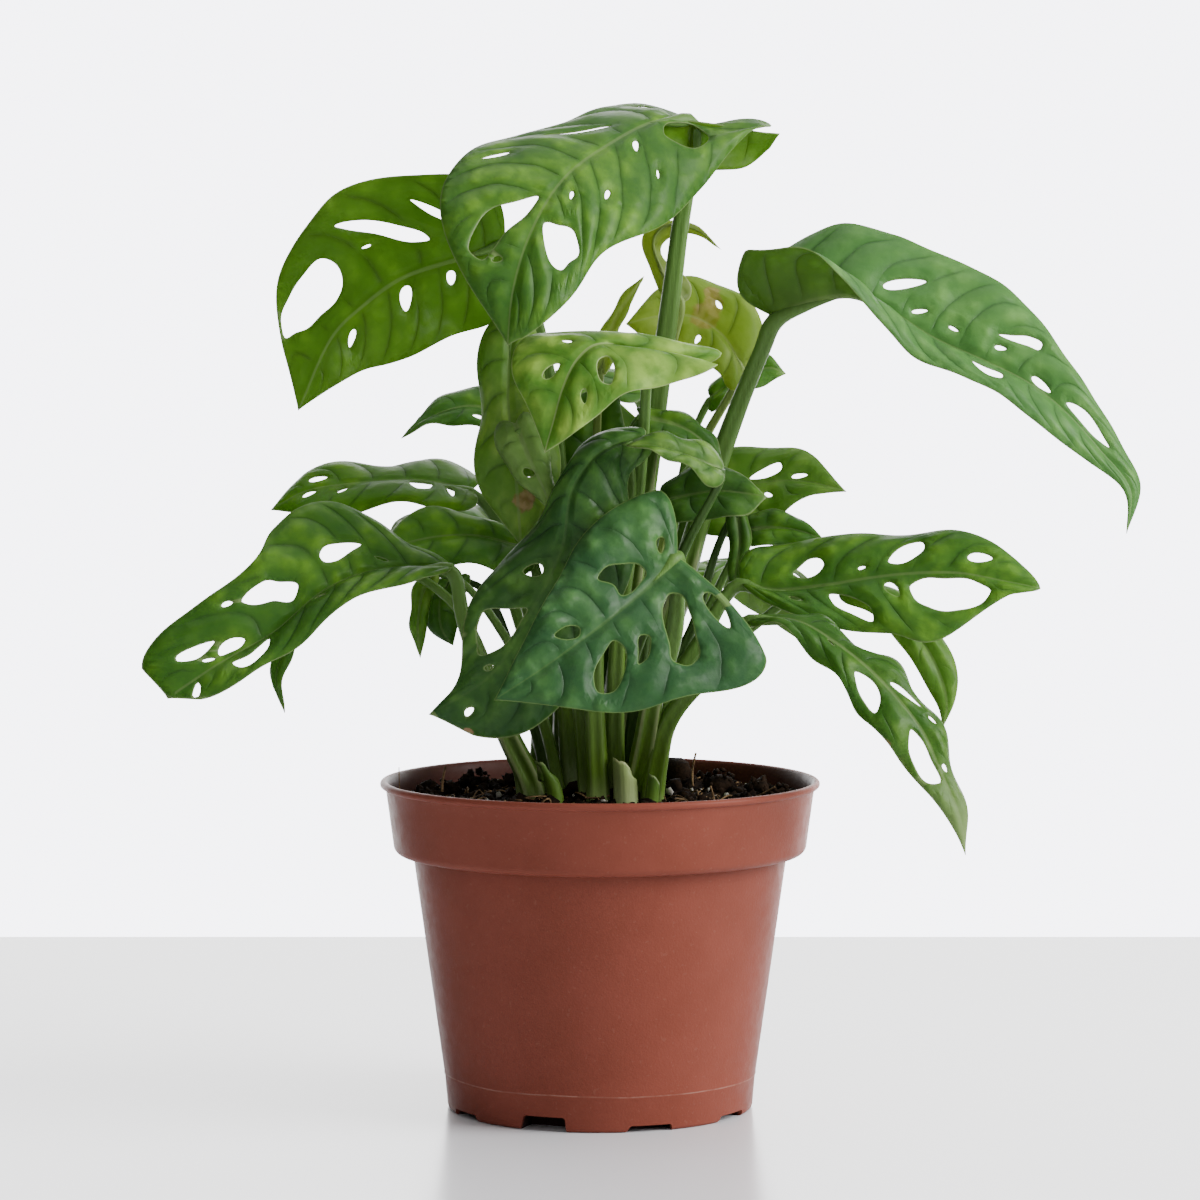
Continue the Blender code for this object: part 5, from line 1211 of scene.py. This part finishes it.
class Graph:
    """Adds shader nodes to a tree, with plain helpers for the sums that the finishes need."""

    def __init__(self, tree, space="Object"):
        self.nodes, self.links = tree.nodes, tree.links
        self.place = self.add("ShaderNodeTexCoord").outputs[space]

    def add(self, kind, plugs=None, **settings):
        node = self.nodes.new(kind)
        for key, value in settings.items():
            setattr(node, key, value)
        for key, value in (plugs or {}).items():
            self.plug(node.inputs[key], value)
        return node

    def plug(self, socket, value):
        if isinstance(value, bpy.types.NodeSocket):
            self.links.new(value, socket)
        elif socket.type == "RGBA" and len(value) == 3:
            socket.default_value = (*value, 1.0)
        else:
            socket.default_value = value

    def value(self, name):
        return self.add("ShaderNodeAttribute", attribute_type="GEOMETRY", attribute_name=name).outputs["Fac"]

    def calc(self, kind, a, b=0.0, clamp=False):
        return self.add("ShaderNodeMath", {0: a, 1: b}, operation=kind, use_clamp=clamp).outputs[0]

    def plus(self, a, b):
        return self.calc("ADD", a, b)

    def times(self, a, b):
        return self.calc("MULTIPLY", a, b)

    def vector(self, kind, a, b=None):
        plugs = {0: a} if b is None else {0: a, 3 if kind == "SCALE" else 1: b}
        outputs = self.add("ShaderNodeVectorMath", plugs, operation=kind).outputs
        return outputs["Value" if kind in ("LENGTH", "DOT_PRODUCT") else "Vector"]

    def distance(self, centre, stretch):
        """The distance in metres from a centre in millimetres, with each axis multiplied by its stretch."""
        away = self.vector("SUBTRACT", self.place, shade(centre, MM))
        return self.vector("LENGTH", self.vector("MULTIPLY", away, stretch))

    def ease(self, value, low, high, start=0.0, end=1.0):
        plugs = {"Value": value, "From Min": low, "From Max": high, "To Min": start, "To Max": end}
        return self.add("ShaderNodeMapRange", plugs, interpolation_type="SMOOTHSTEP").outputs[0]

    def mix(self, share, a, b):
        return self.add("ShaderNodeMix", {0: share, 6: a, 7: b}, data_type="RGBA").outputs[2]

    def noise(self, scale, detail=3.0, roughness=0.5, place=None):
        plugs = {"Vector": place or self.place, "Scale": scale, "Detail": detail, "Roughness": roughness}
        return self.add("ShaderNodeTexNoise", plugs).outputs["Fac"]

    def vary(self, scale, low=0.0, high=1.0, detail=3.0, roughness=0.5, place=None):
        """Noise that goes all the way from the low value to the high one."""
        return self.ease(self.noise(scale, detail, roughness, place), 0.3, 0.7, low, high)

    def wander(self, amount, scale, detail=3.0, roughness=0.5):
        """Noise around zero."""
        return self.times(self.calc("SUBTRACT", self.noise(scale, detail, roughness), 0.5), amount)

    def bump(self, height, strength, distance):
        plugs = {"Height": height, "Strength": strength, "Distance": distance}
        return self.add("ShaderNodeBump", plugs).outputs[0]


class Finish(Graph):
    """A material with the nodes of its Principled shader."""

    def __init__(self, name):
        self.material = bpy.data.materials.new(name)
        self.material.use_nodes = True
        super().__init__(self.material.node_tree)
        self.shader = self.nodes["Principled BSDF"]

    def dress(self, colour, roughness, gloss, normal=None):
        skin = {"Base Color": colour, "Roughness": roughness, "Specular IOR Level": gloss}
        if normal:
            skin["Normal"] = normal
        for key, value in skin.items():
            self.plug(self.shader.inputs[key], value)
        return self.material

    def shine_through(self, share, colour, normal):
        """Lets the light from behind through the surface, in a colour of its own."""
        lit = self.add("ShaderNodeBsdfTranslucent", {"Color": colour, "Normal": normal}).outputs[0]
        both = self.add("ShaderNodeMixShader", {0: share, 1: self.shader.outputs[0], 2: lit}).outputs[0]
        self.plug(self.nodes["Material Output"].inputs["Surface"], both)


def leaf_material(name, look, spots=()):
    """A satin leaf with sunken side veins, pale rims and midrib, mottled panels and light through it.
    Its colour paints shade into the vein creases and between the blisters, and light onto the blister tops.
    """
    g = Finish(name)
    vein, edge, aside, run, upper = (g.value(key) for key in ("vein", "edge", "aside", "run", "upper"))
    dark, light, under, pale = (look[key] for key in ("dark", "light", "under", "pale"))
    panel = g.calc("ABSOLUTE", g.calc("SINE", g.times(g.plus(vein, g.wander(0.22, 90.0)), math.pi)))
    reach = g.times(g.ease(aside, 0.4, 3.0), g.ease(edge, 0.5, 4.0))
    # Creases along the side veins: they darken the colour below, partly as the veins' tone, partly as painted
    # shade
    crease = g.times(g.ease(panel, 0.0, 0.34, 1.0, 0.0), reach)

    swirl = g.add("ShaderNodeTexNoise", {"Vector": g.place, "Scale": 130.0}).outputs["Color"]
    moved = g.vector("ADD", g.place, g.vector("SCALE", swirl, 0.004))
    plugs = {"Vector": moved, "Scale": look["cells"], "Smoothness": 0.6}
    blisters = g.add("ShaderNodeTexVoronoi", plugs, feature="SMOOTH_F1").outputs["Distance"]
    # Blister domes: raised in the bump; in the colour, lighter tops and darker gaps are painted light and
    # shade
    dome = g.ease(blisters, 0.12, 0.62, 1.0, 0.0)
    patch = g.ease(g.noise(42.0, 3.0, 0.6), 0.4, 0.62)
    fine = g.vary(420.0, roughness=0.6)
    between = g.ease(panel, 0.15, 0.85, 0.25, 1.0)
    broken = g.ease(g.noise(170.0, 4.0, 0.65), 0.36, 0.66)
    # Mottle: the leaf's own blotches from the noise, plus the painted light and shade of the blister domes
    mottle_and_blister_light = g.times(g.times(g.plus(dome, broken), between), g.ease(patch, 0.0, 1.0, 0.14, 0.5))
    mottle_and_blister_light = g.times(g.calc("ADD", mottle_and_blister_light, g.times(patch, 0.22), clamp=True), look["mottle_and_blister_light"])

    top = g.mix(g.times(fine, 0.12), g.mix(mottle_and_blister_light, dark, light), light)
    # Painted shade in the vein creases, partly the veins' own darker tone, on the upper side and then the
    # lower one
    top = g.mix(g.times(crease, look["crease"]), top, shade(dark, 0.5))
    below = g.mix(mottle_and_blister_light, *(shade(under, share) for share in UNDER_SHADES))
    below = g.mix(g.times(crease, 0.5), below, shade(under, 0.6))
    colour = g.mix(g.ease(upper, 0.35, 0.65), below, top)
    # Painted highlight: the end of the blade turns pale, as strongly as the look's tip value
    colour = g.mix(g.times(g.ease(run, 0.66, 1.0), look["tip"]), colour, shade(pale, 1.15))
    for middle, size in spots:
        far = g.plus(g.distance(middle, (1.0, 0.0, 1.0)), g.wander(1.6 * size * MM, 220.0, 4.0, 0.6))
        dry = g.mix(g.ease(g.noise(500.0), 0.35, 0.65), *DRY_LEAF)
        colour = g.mix(g.ease(far, 0.75 * size * MM, size * MM, 0.9, 0.0), colour, dry)
    narrowing = g.calc("DIVIDE", aside, g.ease(run, 0.0, 1.0, 0.95, 0.3))
    midrib = g.times(g.ease(narrowing, 0.45, 1.0, 1.0, 0.0), look["rib"])
    rim = g.times(g.ease(edge, 0.05, 0.34, 1.0, 0.0), look["rim"])
    colour = g.mix(rim, g.mix(midrib, colour, pale), pale)

    height = g.plus(g.times(g.calc("POWER", panel, 0.55), reach), g.times(fine, 0.05))
    lumps = g.times(g.times(dome, g.ease(patch, 0.0, 1.0, 0.45, 1.0)), look["blister"])
    normal = g.bump(g.plus(height, lumps), 0.55, 0.001)
    roughness = g.vary(160.0, look["rough"] - 0.05, look["rough"] + 0.07)
    through = g.mix(g.times(crease, 0.55), look["glow"], shade(look["glow"], 0.45))
    g.shine_through(look["thin"], g.mix(g.times(midrib, 0.7), through, pale), normal)
    return g.dress(colour, roughness, LEAF_GLOSS, normal)


def stalk_material(name, low, high, pale):
    """A smooth green stalk with fine long streaks, paler at its foot and along the rims of its sheath."""
    g = Finish(name)
    edge, run = g.value("edge"), g.value("run")
    long = g.add("ShaderNodeMapping", {"Vector": g.place, "Scale": (900.0, 900.0, 60.0)}).outputs[0]
    streaks = g.vary(1.0, detail=4.0, roughness=0.6, place=long)
    colour = g.mix(g.ease(run, 0.05, 0.7), low, high)
    colour = g.mix(g.times(streaks, 0.35), colour, shade(low, 0.6))
    colour = g.mix(g.times(g.ease(run, 0.05, 0.16, 1.0, 0.0), 0.5), colour, pale)
    colour = g.mix(g.ease(edge, 0.25, 0.9, 0.0, 0.85), colour, pale)
    return g.dress(colour, g.vary(200.0, 0.36, 0.5), STALK_GLOSS, g.bump(streaks, 0.25, 0.0003))


def pot_material():
    """Satin terracotta plastic with fine speckles, cloudy wear and a thin scratched mould line.
    The inside of the wall above the soil and the underside of the foot are darkened as painted shade.
    """
    g = Finish("terracotta_plastic")
    height = g.add("ShaderNodeSeparateXYZ", {0: g.place}).outputs[2]
    speckle = g.ease(g.noise(2600.0, 2.0, 0.7), 0.6, 0.75)
    dust = g.ease(g.noise(900.0, 1.0, 0.4), 0.68, 0.74)
    colour = g.mix(g.vary(45.0, detail=4.0, roughness=0.6), *PLASTIC)
    colour = g.mix(g.times(speckle, 0.3), colour, PLASTIC_SPECKLE)
    colour = g.mix(g.times(dust, 0.07), colour, PLASTIC_DUST)
    over_line = g.calc("SUBTRACT", g.plus(height, g.wander(0.0016, 30.0, 2.0)), MOULD_LINE_HEIGHT * MM)
    line = g.ease(g.calc("ABSOLUTE", over_line), 0.00005, 0.0003, 1.0, 0.0)
    scratch = g.times(line, g.ease(g.noise(120.0, 3.0, 0.7), 0.38, 0.6, 0.3, 1.0))
    tick = g.ease(g.distance(MOULD_TICK, (1.0, 1.0, 0.2)), 0.0002, 0.0005, 1.0, 0.0)
    colour = g.mix(g.times(g.calc("MAXIMUM", scratch, tick), 0.5), colour, PLASTIC_SCRATCH)
    out = g.vector("MULTIPLY", g.place, (1.0, 1.0, 0.0))
    facing = g.vector("DOT_PRODUCT", g.add("ShaderNodeNewGeometry").outputs["Normal"], out)
    # Painted shade: the wall's inner face above the soil is darkened, a little unevenly.
    inner = g.times(g.ease(facing, -0.04, -0.02, 1.0, 0.0), g.ease(height, 0.06, 0.07))
    colour = g.mix(g.times(inner, g.vary(60.0, 0.7, 0.95, 4.0)), colour, PLASTIC_PAINTED_SHADE_INSIDE)
    # Painted shade under the pot: the underside of the foot and the notches turn nearly black.
    foot = g.ease(g.vector("LENGTH", out), 0.0398, 0.0412, 1.0, 0.0)
    foot = g.times(foot, g.ease(height, 0.0044, 0.0052, 1.0, 0.0))
    colour = g.mix(g.times(foot, 0.95), colour, PLASTIC_PAINTED_SHADE_UNDER)
    grain = g.plus(g.noise(1500.0), g.times(g.noise(70.0), 1.5))
    return g.dress(colour, g.vary(300.0, 0.38, 0.47), PLASTIC_GLOSS, g.bump(grain, 0.12, 0.0004))


def grain_material(name, dark, light, scale, roughness):
    """A dull, rough, two-toned finish for the loose bits of the potting mix."""
    g = Finish(name)
    colour = g.mix(g.ease(g.noise(scale, 4.0, 0.7), 0.35, 0.65), dark, light)
    rough = g.vary(scale * 2, roughness - 0.08, roughness + 0.08)
    return g.dress(colour, rough, GRAIN_GLOSS, g.bump(g.noise(scale * 2.5, 4.0, 0.7), 0.7, 0.0005))


def lathe(profile, steps):
    """Turns a profile of radius and height, which starts and ends on the axis, into a closed solid."""
    unit_ring = circle(full_turn(steps), np.array((1.0, 0.0, 0.0)), np.array((0.0, 1.0, 0.0)))
    rings = [unit_ring * radius + (0.0, 0.0, z) for radius, z in profile[1:-1]]
    points = np.concatenate([[(0.0, 0.0, profile[0][1])], *rings, [(0.0, 0.0, profile[-1][1])]])
    faces = [(0, 1 + b, 1 + a) for a, b in closed_edges(0, steps)]
    for start in range(1, 1 + steps * (len(rings) - 1), steps):
        faces += [(a, b, b + steps, a + steps) for a, b in closed_edges(start, steps)]
    end = len(points) - 1
    faces += [(a, b, end) for a, b in closed_edges(end - steps, steps)]
    return points, faces, {}


def arc(x, z, radius, start, end, count):
    """Points of a profile along a rounding, with its angles in degrees."""
    turns = np.radians(np.linspace(start, end, count))
    return [(x + radius * math.cos(turn), z + radius * math.sin(turn)) for turn in turns]


def band_outside(share):
    """The outer radius of the pot's band at a share of its height."""
    return BAND_LOW_RADIUS + (BAND_TOP_RADIUS - BAND_LOW_RADIUS) * share


def band_inside(height):
    """The inner radius of the pot's band at a height."""
    low, lip = POT_HEIGHT - BAND_HEIGHT, POT_HEIGHT - LIP_HEIGHT
    return band_outside((height - low) / (lip - low)) - WALL


def pot_profile():
    """The pot's section as radius and height, up its outside and down its inside."""
    low, lip = POT_HEIGHT - BAND_HEIGHT, POT_HEIGHT - LIP_HEIGHT
    body, flare = BODY_LOW_HEIGHT + BODY_STEP_HEIGHT, BODY_TOP_RADIUS - BODY_LOW_RADIUS
    outside = [(0.0, 0.0), (BASE_RADIUS - 4.0, 0.0)]
    outside += arc(BASE_RADIUS - FOOT_ROUNDING, FOOT_ROUNDING, FOOT_ROUNDING, -90, -5, 6)
    outside += [(BODY_LOW_RADIUS - 0.1, BODY_LOW_HEIGHT), (BODY_LOW_RADIUS + 0.12, BODY_LOW_HEIGHT + 0.5)]
    for share in (0.0, *np.linspace(0.1, 0.97, 14)):
        outside.append((BODY_LOW_RADIUS + 0.1 + flare * share, body + (low - body) * share))
    outside += [(BODY_TOP_RADIUS, low + 0.2), (BODY_TOP_RADIUS + 0.5, low)]
    band = low + BAND_ROUNDING
    outside += arc(BAND_LOW_RADIUS - BAND_ROUNDING, band, BAND_ROUNDING, -90, -3, 9)
    outside += [(band_outside(share), band + (lip - band) * share) for share in (0.25, 0.5, 0.75, 0.96)]
    outside += [(BAND_TOP_RADIUS + 0.2, lip), *arc(LIP_RADIUS - 1.0, POT_HEIGHT - 1.05, 1.0, -60, 100, 12)]
    outside += [(LIP_RADIUS - 1.7, POT_HEIGHT - 0.25), (LIP_RADIUS - 2.2, POT_HEIGHT - 0.9)]
    step = low + 2 * WALL
    inside_wall = [(band_inside(lip), lip - 0.4), *((band_inside(z), z) for z in (86.0, 84.0, 80.0, 75.0))]
    inside_wall += [(BAND_LOW_RADIUS - WALL, step + WALL), (BAND_LOW_RADIUS - BAND_ROUNDING, step)]
    inside_wall += [(BODY_TOP_RADIUS - WALL, step), (BODY_LOW_RADIUS - WALL, BODY_LOW_HEIGHT)]
    inside_wall += [(BASE_RADIUS - WALL - 0.4, BENCH_HEIGHT), (BENCH_INNER_RADIUS, BENCH_HEIGHT)]
    return outside + inside_wall + [(BENCH_INNER_RADIUS - 0.6, FLOOR), (0.0, FLOOR)]


def notch_cutter(turn, height):
    """A solid to cut one notch out of the pot's foot, with rounded upper corners and a slanting left side."""
    out = np.array((math.cos(turn), math.sin(turn), 0.0))
    along_rim = np.array((-math.sin(turn), math.cos(turn), 0.0))
    half, corner = NOTCH_WIDTH / 2, height - NOTCH_ROUNDING
    outline = [(-half - 1.4, -1.0), (half + 0.3, -1.0)]
    outline += arc(half - NOTCH_ROUNDING, corner, NOTCH_ROUNDING, 0, 90, 5)
    outline += arc(-half + NOTCH_ROUNDING, corner, NOTCH_ROUNDING, 90, 150, 5)
    points = []
    for radius in (BASE_RADIUS + 2.0, BASE_RADIUS - NOTCH_DEPTH):
        points += [out * radius + along_rim * s + np.array((0, 0, z)) for s, z in outline]
    count = len(outline)
    faces = [tuple(range(count)), tuple(range(2 * count - 1, count - 1, -1))]
    return points, faces + [(b, a, a + count, b + count) for a, b in closed_edges(0, count)]


def cut_away(thing, cutters):
    """Cuts the cutters out of a mesh and removes them."""
    for cutter in cutters:
        change = thing.modifiers.new("cut", "BOOLEAN")
        change.operation, change.solver, change.object = "DIFFERENCE", "EXACT", cutter
    made = bpy.data.meshes.new_from_object(thing.evaluated_get(bpy.context.evaluated_depsgraph_get()))
    thing.modifiers.clear()
    thing.data = made
    for cutter in cutters:
        bpy.data.objects.remove(cutter)


def build_pot():
    parts, cutters = [lathe(pot_profile(), POT_STEPS)], []
    pot = make_piece("pot_looks", parts, [pot_material()], "pot")
    for index, height in enumerate(NOTCH_HEIGHTS):
        turn = math.radians(FIRST_NOTCH_DEG + 360 * index / len(NOTCH_HEIGHTS))
        cutters.append(plain_object("notch", *notch_cutter(turn, height)))
    cut_away(pot, cutters)
    pot.data.set_sharp_from_angle(angle=math.radians(SHARP_DEG))


def soil_height(x, y):
    """The lumpy surface of the soil, which rises a little around the stems."""
    mound = MOUND_HEIGHT * np.maximum(0.0, 1 - (x**2 + y**2) / MOUND_RADIUS**2)
    lumps = np.sin(x * 0.31 + 1.7) * np.sin(y * 0.27 + 0.4) + 0.6 * np.sin(x * 0.17 - y * 0.23)
    fine = np.sin(x * 0.9 + 2.0 * np.sin(y * 0.5)) * np.sin(y * 0.8 + 1.5 * np.sin(x * 0.6))
    return SOIL_LEVEL + mound + 0.7 * lumps + 0.6 * fine


def on_soil(x, y, lift):
    return np.array((x, y, soil_height(x, y) + lift))


def random_place(rng, radius):
    """Draws a place on a disc."""
    reach, turn = radius * math.sqrt(rng.uniform()), rng.uniform(0, math.tau)
    return reach * math.cos(turn), reach * math.sin(turn)


def pebble(rng, centre, size, rough=0.35, level=1):
    """One irregular lump."""
    mesh = bmesh.new()
    bmesh.ops.create_icosphere(mesh, subdivisions=level, radius=1.0)
    points = np.array([tuple(vert.co) for vert in mesh.verts])
    faces = [tuple(vert.index for vert in face.verts) for face in mesh.faces]
    mesh.free()
    points *= (1 + rough * rng.normal(size=(len(points), 1))).clip(0.5, 1.6)
    stretch = rng.uniform(0.6, 1.3, 3) * (1, 1, 0.8)
    spin = np.array(Matrix.Rotation(rng.uniform(0, 6.28), 3, Vector(rng.normal(size=3))))
    return (points * stretch) @ spin.T * size + centre, faces


def thread(rng, start, end, sag, radius):
    """A thin root fibre that bends between two places."""
    steps = np.linspace(0.0, 1.0, 9)[:, None]
    bend = rng.normal(size=3) * sag
    path = start + (end - start) * steps + bend * np.sin(math.pi * steps)
    return tube(path, np.full(len(path), radius), 5)


def gather(solids):
    """Joins several solids into one part."""
    points, faces, first = [], [], 0
    for solid_points, solid_faces in solids:
        points.append(solid_points)
        faces += [tuple(first + corner for corner in face) for face in solid_faces]
        first += len(solid_points)
    return np.concatenate(points), faces, {}


def soil_body(rng, edge):
    """The soil that fills the pot, under a lumpy surface."""
    profile = [(0.0, FLOOR + 0.3), (BENCH_INNER_RADIUS - 1.0, FLOOR + 0.3)]
    profile += [(BODY_LOW_RADIUS - 2.0, BODY_LOW_HEIGHT)]
    profile += [(BODY_TOP_RADIUS - WALL - SOIL_GAP, 73.0), (edge - 0.6, 76.0)]
    profile += [(radius, SOIL_LEVEL) for radius in np.linspace(0.0, edge, SOIL_RINGS)[::-1]]
    points, faces, values = lathe(profile, SOIL_STEPS)
    top = points[:, 2] == SOIL_LEVEL
    points[top, 2] = soil_height(points[top, 0], points[top, 1]) + rng.normal(size=top.sum()) * 0.25
    return points, faces, values


def soil_crumbs(rng, edge):
    """Loose crumbs, and clods that are covered with them."""
    crumbs = []
    for _ in range(CRUMBS):
        x, y = random_place(rng, edge)
        size = min(LARGEST_CRUMB, SMALLEST_CRUMB + rng.exponential(CRUMB_SPREAD))
        if math.hypot(x, y) + size <= edge:
            crumbs.append(pebble(rng, on_soil(x, y, 0.2 * size), size))
    for x, y, size, lift in CLUMPS:
        middle = on_soil(x, y, lift)
        crumbs.append(pebble(rng, middle, size, 0.16, 2))
        for _ in range(CRUMBS_ON_A_CLUMP):
            way = unit(rng.normal(size=3)) * size * 0.95
            way[2] = abs(way[2])
            crumbs.append(pebble(rng, middle + way, rng.uniform(0.5, 1.3)))
    return gather(crumbs)


def soil_grains_and_fibres(rng, edge):
    """Perlite grains, and root fibres that lie on the soil or stick out of it."""
    grains, fibres = [], []
    for _ in range(GRAINS):
        x, y = random_place(rng, edge * 0.95)
        grains.append(pebble(rng, on_soil(x, y, 0.7), rng.uniform(0.3, 0.9), 0.2))
    for _ in range(FIBRES):
        x, y = random_place(rng, edge * 0.9)
        way, length = rng.uniform(0, math.tau), rng.uniform(3.0, 9.0)
        start = on_soil(x, y, rng.uniform(0.3, 1.6))
        x, y = x + length * math.cos(way), y + length * math.sin(way)
        if math.hypot(x, y) < edge:
            end = on_soil(x, y, rng.uniform(0.0, 2.0))
            fibres.append(thread(rng, start, end, 0.9, rng.uniform(0.1, 0.28)))
    grains.append(pebble(rng, on_soil(*BIG_GRAIN), 1.0, 0.15))
    for start, end, radius in SPRIGS:
        fibres.append(thread(rng, np.array(start), np.array(end), 0.5, radius))
    return gather(grains), gather(fibres)


def build_soil():
    rng = np.random.default_rng(SOIL_SEED)
    edge = band_inside(SOIL_LEVEL) - SOIL_GAP
    parts = [soil_body(rng, edge), soil_crumbs(rng, edge), *soil_grains_and_fibres(rng, edge)]
    materials = [grain_material(*finish) for finish in SOIL_FINISHES]
    make_piece("soil_looks", parts, materials, "soil")


def build_stub(stub, material):
    """An old stem that ends in a thin, slanting sheath with a ragged rim around a dry hollow."""
    x, y = stub.foot
    steps = np.linspace(0.0, 1.0, STUB_RINGS)
    path = smooth_path([(x, y, SOIL_LEVEL - ROOT_DEPTH), (x, y, SOIL_LEVEL + 3.0), stub.top], steps)
    radii = np.interp(steps, (0.0, 0.5, 0.8, 1.0), (1.15, 1.05, 0.95, 0.8)) * stub.radius
    outer, _ = tube(path, radii, STALK_SIDES)
    turn = np.tile(full_turn(STALK_SIDES), STUB_RINGS)
    share = np.repeat(steps, STALK_SIDES)
    ragged = 1.5 * np.sin(turn + 0.6) + 0.25 * np.sin(3 * turn + x) + 0.1 * np.sin(7 * turn)
    outer[:, 2] += stub.radius * 0.55 * (ragged - 2.0) * ease(share, 0.6, 1.0)
    rim = outer[-STALK_SIDES:]
    middle = rim.mean(axis=0)
    inner = middle + (rim - middle) * 0.72 - np.array((0.0, 0.0, 0.15 * stub.radius))
    floor = middle + (rim - middle) * 0.55 - np.array((0.0, 0.0, 2.2 * stub.radius))
    edge = np.concatenate([ease(share, 0.9, 1.0) * 0.7, np.ones(STALK_SIDES), np.zeros(STALK_SIDES)])
    run = np.concatenate([0.5 * share, np.full(2 * STALK_SIDES, 0.5)])
    faces = ring_faces(STALK_SIDES, STUB_RINGS + 2)
    parts = [(np.concatenate([outer, inner, floor]), faces, dict(edge=edge, run=run))]
    make_piece(stub.name + "_looks", parts, [material], stub.name)


def build_leaf(leaf, number, stalks):
    blade = Blade(leaf)
    skin = SKINS.get(leaf.name, "green")
    look = {**LOOKS["green"], **LOOKS[skin]}
    parts = [blade_parts(blade, number, look["ridge"]), stalk_parts(leaf, blade)]
    materials = [leaf_material(leaf.name + "_skin", look, SPOTS.get(leaf.name, ())), stalks[look["stalk"]]]
    if leaf.name == "leaf_top":
        parts.append(flap_parts(*TOP_LOBE))
        materials.append(leaf_material("leaf_top_lobe_skin", {**LOOKS["green"], **LOOKS["lit"]}))
    make_piece(leaf.name + "_looks", parts, materials, leaf.name)


def build_table():
    """A pale satin table top that ends a little behind the plant."""
    points = [(x, y, z) for z in (0.0, -TABLE_THICKNESS) for x, y in TABLE_CORNERS]
    faces = [(0, 1, 2, 3), (7, 6, 5, 4)] + [(a + 4, b + 4, b, a) for a, b in closed_edges(0, 4)]
    table = plain_object("table", points, faces, 1.0)
    g = Finish("table_white")
    colour = g.mix(g.vary(2.0), TABLE_COLOUR, shade(TABLE_COLOUR, 0.985))
    table.data.materials.append(g.dress(colour, TABLE_ROUGHNESS, TABLE_GLOSS))


def add_light(name, place, aim, size, power):
    light = bpy.data.lights.new(name, "AREA")
    light.shape, light.energy = "RECTANGLE", power
    light.size, light.size_y = size
    thing = show(bpy.data.objects.new(name, light))
    thing.location = place
    thing.rotation_euler = (Vector(aim) - Vector(place)).to_track_quat("-Z", "Y").to_euler()


def build_world():
    """A pale studio with a bright wall behind, more light from right and above, and less from the front."""
    world = bpy.data.worlds.new("studio")
    world.use_nodes = True
    world.node_tree.nodes.clear()
    g = Graph(world.node_tree, "Generated")
    axes, total = g.add("ShaderNodeSeparateXYZ", {0: g.place}).outputs, WORLD_LIGHT
    for axis, share in zip(axes, (SIDE_SHARE, BACK_SHARE, TOP_SHARE)):
        total = g.add("ShaderNodeMath", {0: axis, 1: share, 2: total}, operation="MULTIPLY_ADD").outputs[0]
    wall = g.ease(axes[1], WALL_FROM, WALL_TO, 0.0, WALL_LIGHT)
    strength = g.plus(g.calc("MAXIMUM", total, DARKEST_WORLD), wall)
    around = g.add("ShaderNodeBackground", {"Color": (1.0, 1.0, 1.0), "Strength": strength}).outputs[0]
    seen = g.add("ShaderNodeBackground", {"Color": BACKDROP}).outputs[0]
    ray = g.add("ShaderNodeLightPath").outputs["Is Camera Ray"]
    mixed = g.add("ShaderNodeMixShader", {0: ray, 1: around, 2: seen}).outputs[0]
    g.add("ShaderNodeOutputWorld", {"Surface": mixed})
    bpy.context.scene.world = world


def build_camera():
    camera = bpy.data.cameras.new("camera")
    camera.sensor_width, camera.lens = SENSOR_WIDTH, LENS
    thing = show(bpy.data.objects.new("camera", camera))
    thing.location = (0.0, -EYE_DISTANCE * MM, EYE_HEIGHT * MM)
    thing.rotation_euler = (math.radians(90 - CAMERA_DOWN_DEG), 0.0, 0.0)
    bpy.context.scene.camera = thing


def main():
    build_pot()
    build_soil()
    stalks = {key: stalk_material(*finish) for key, finish in STALKS.items()}
    for number, leaf in enumerate(LEAVES):
        build_leaf(leaf, number, stalks)
    for stub in STUBS:
        build_stub(stub, stalks["crown" if stub.name == "stem_stub_front" else "green"])
    build_table()
    build_world()
    for light in LIGHTS:
        add_light(*light)
    build_camera()


main()
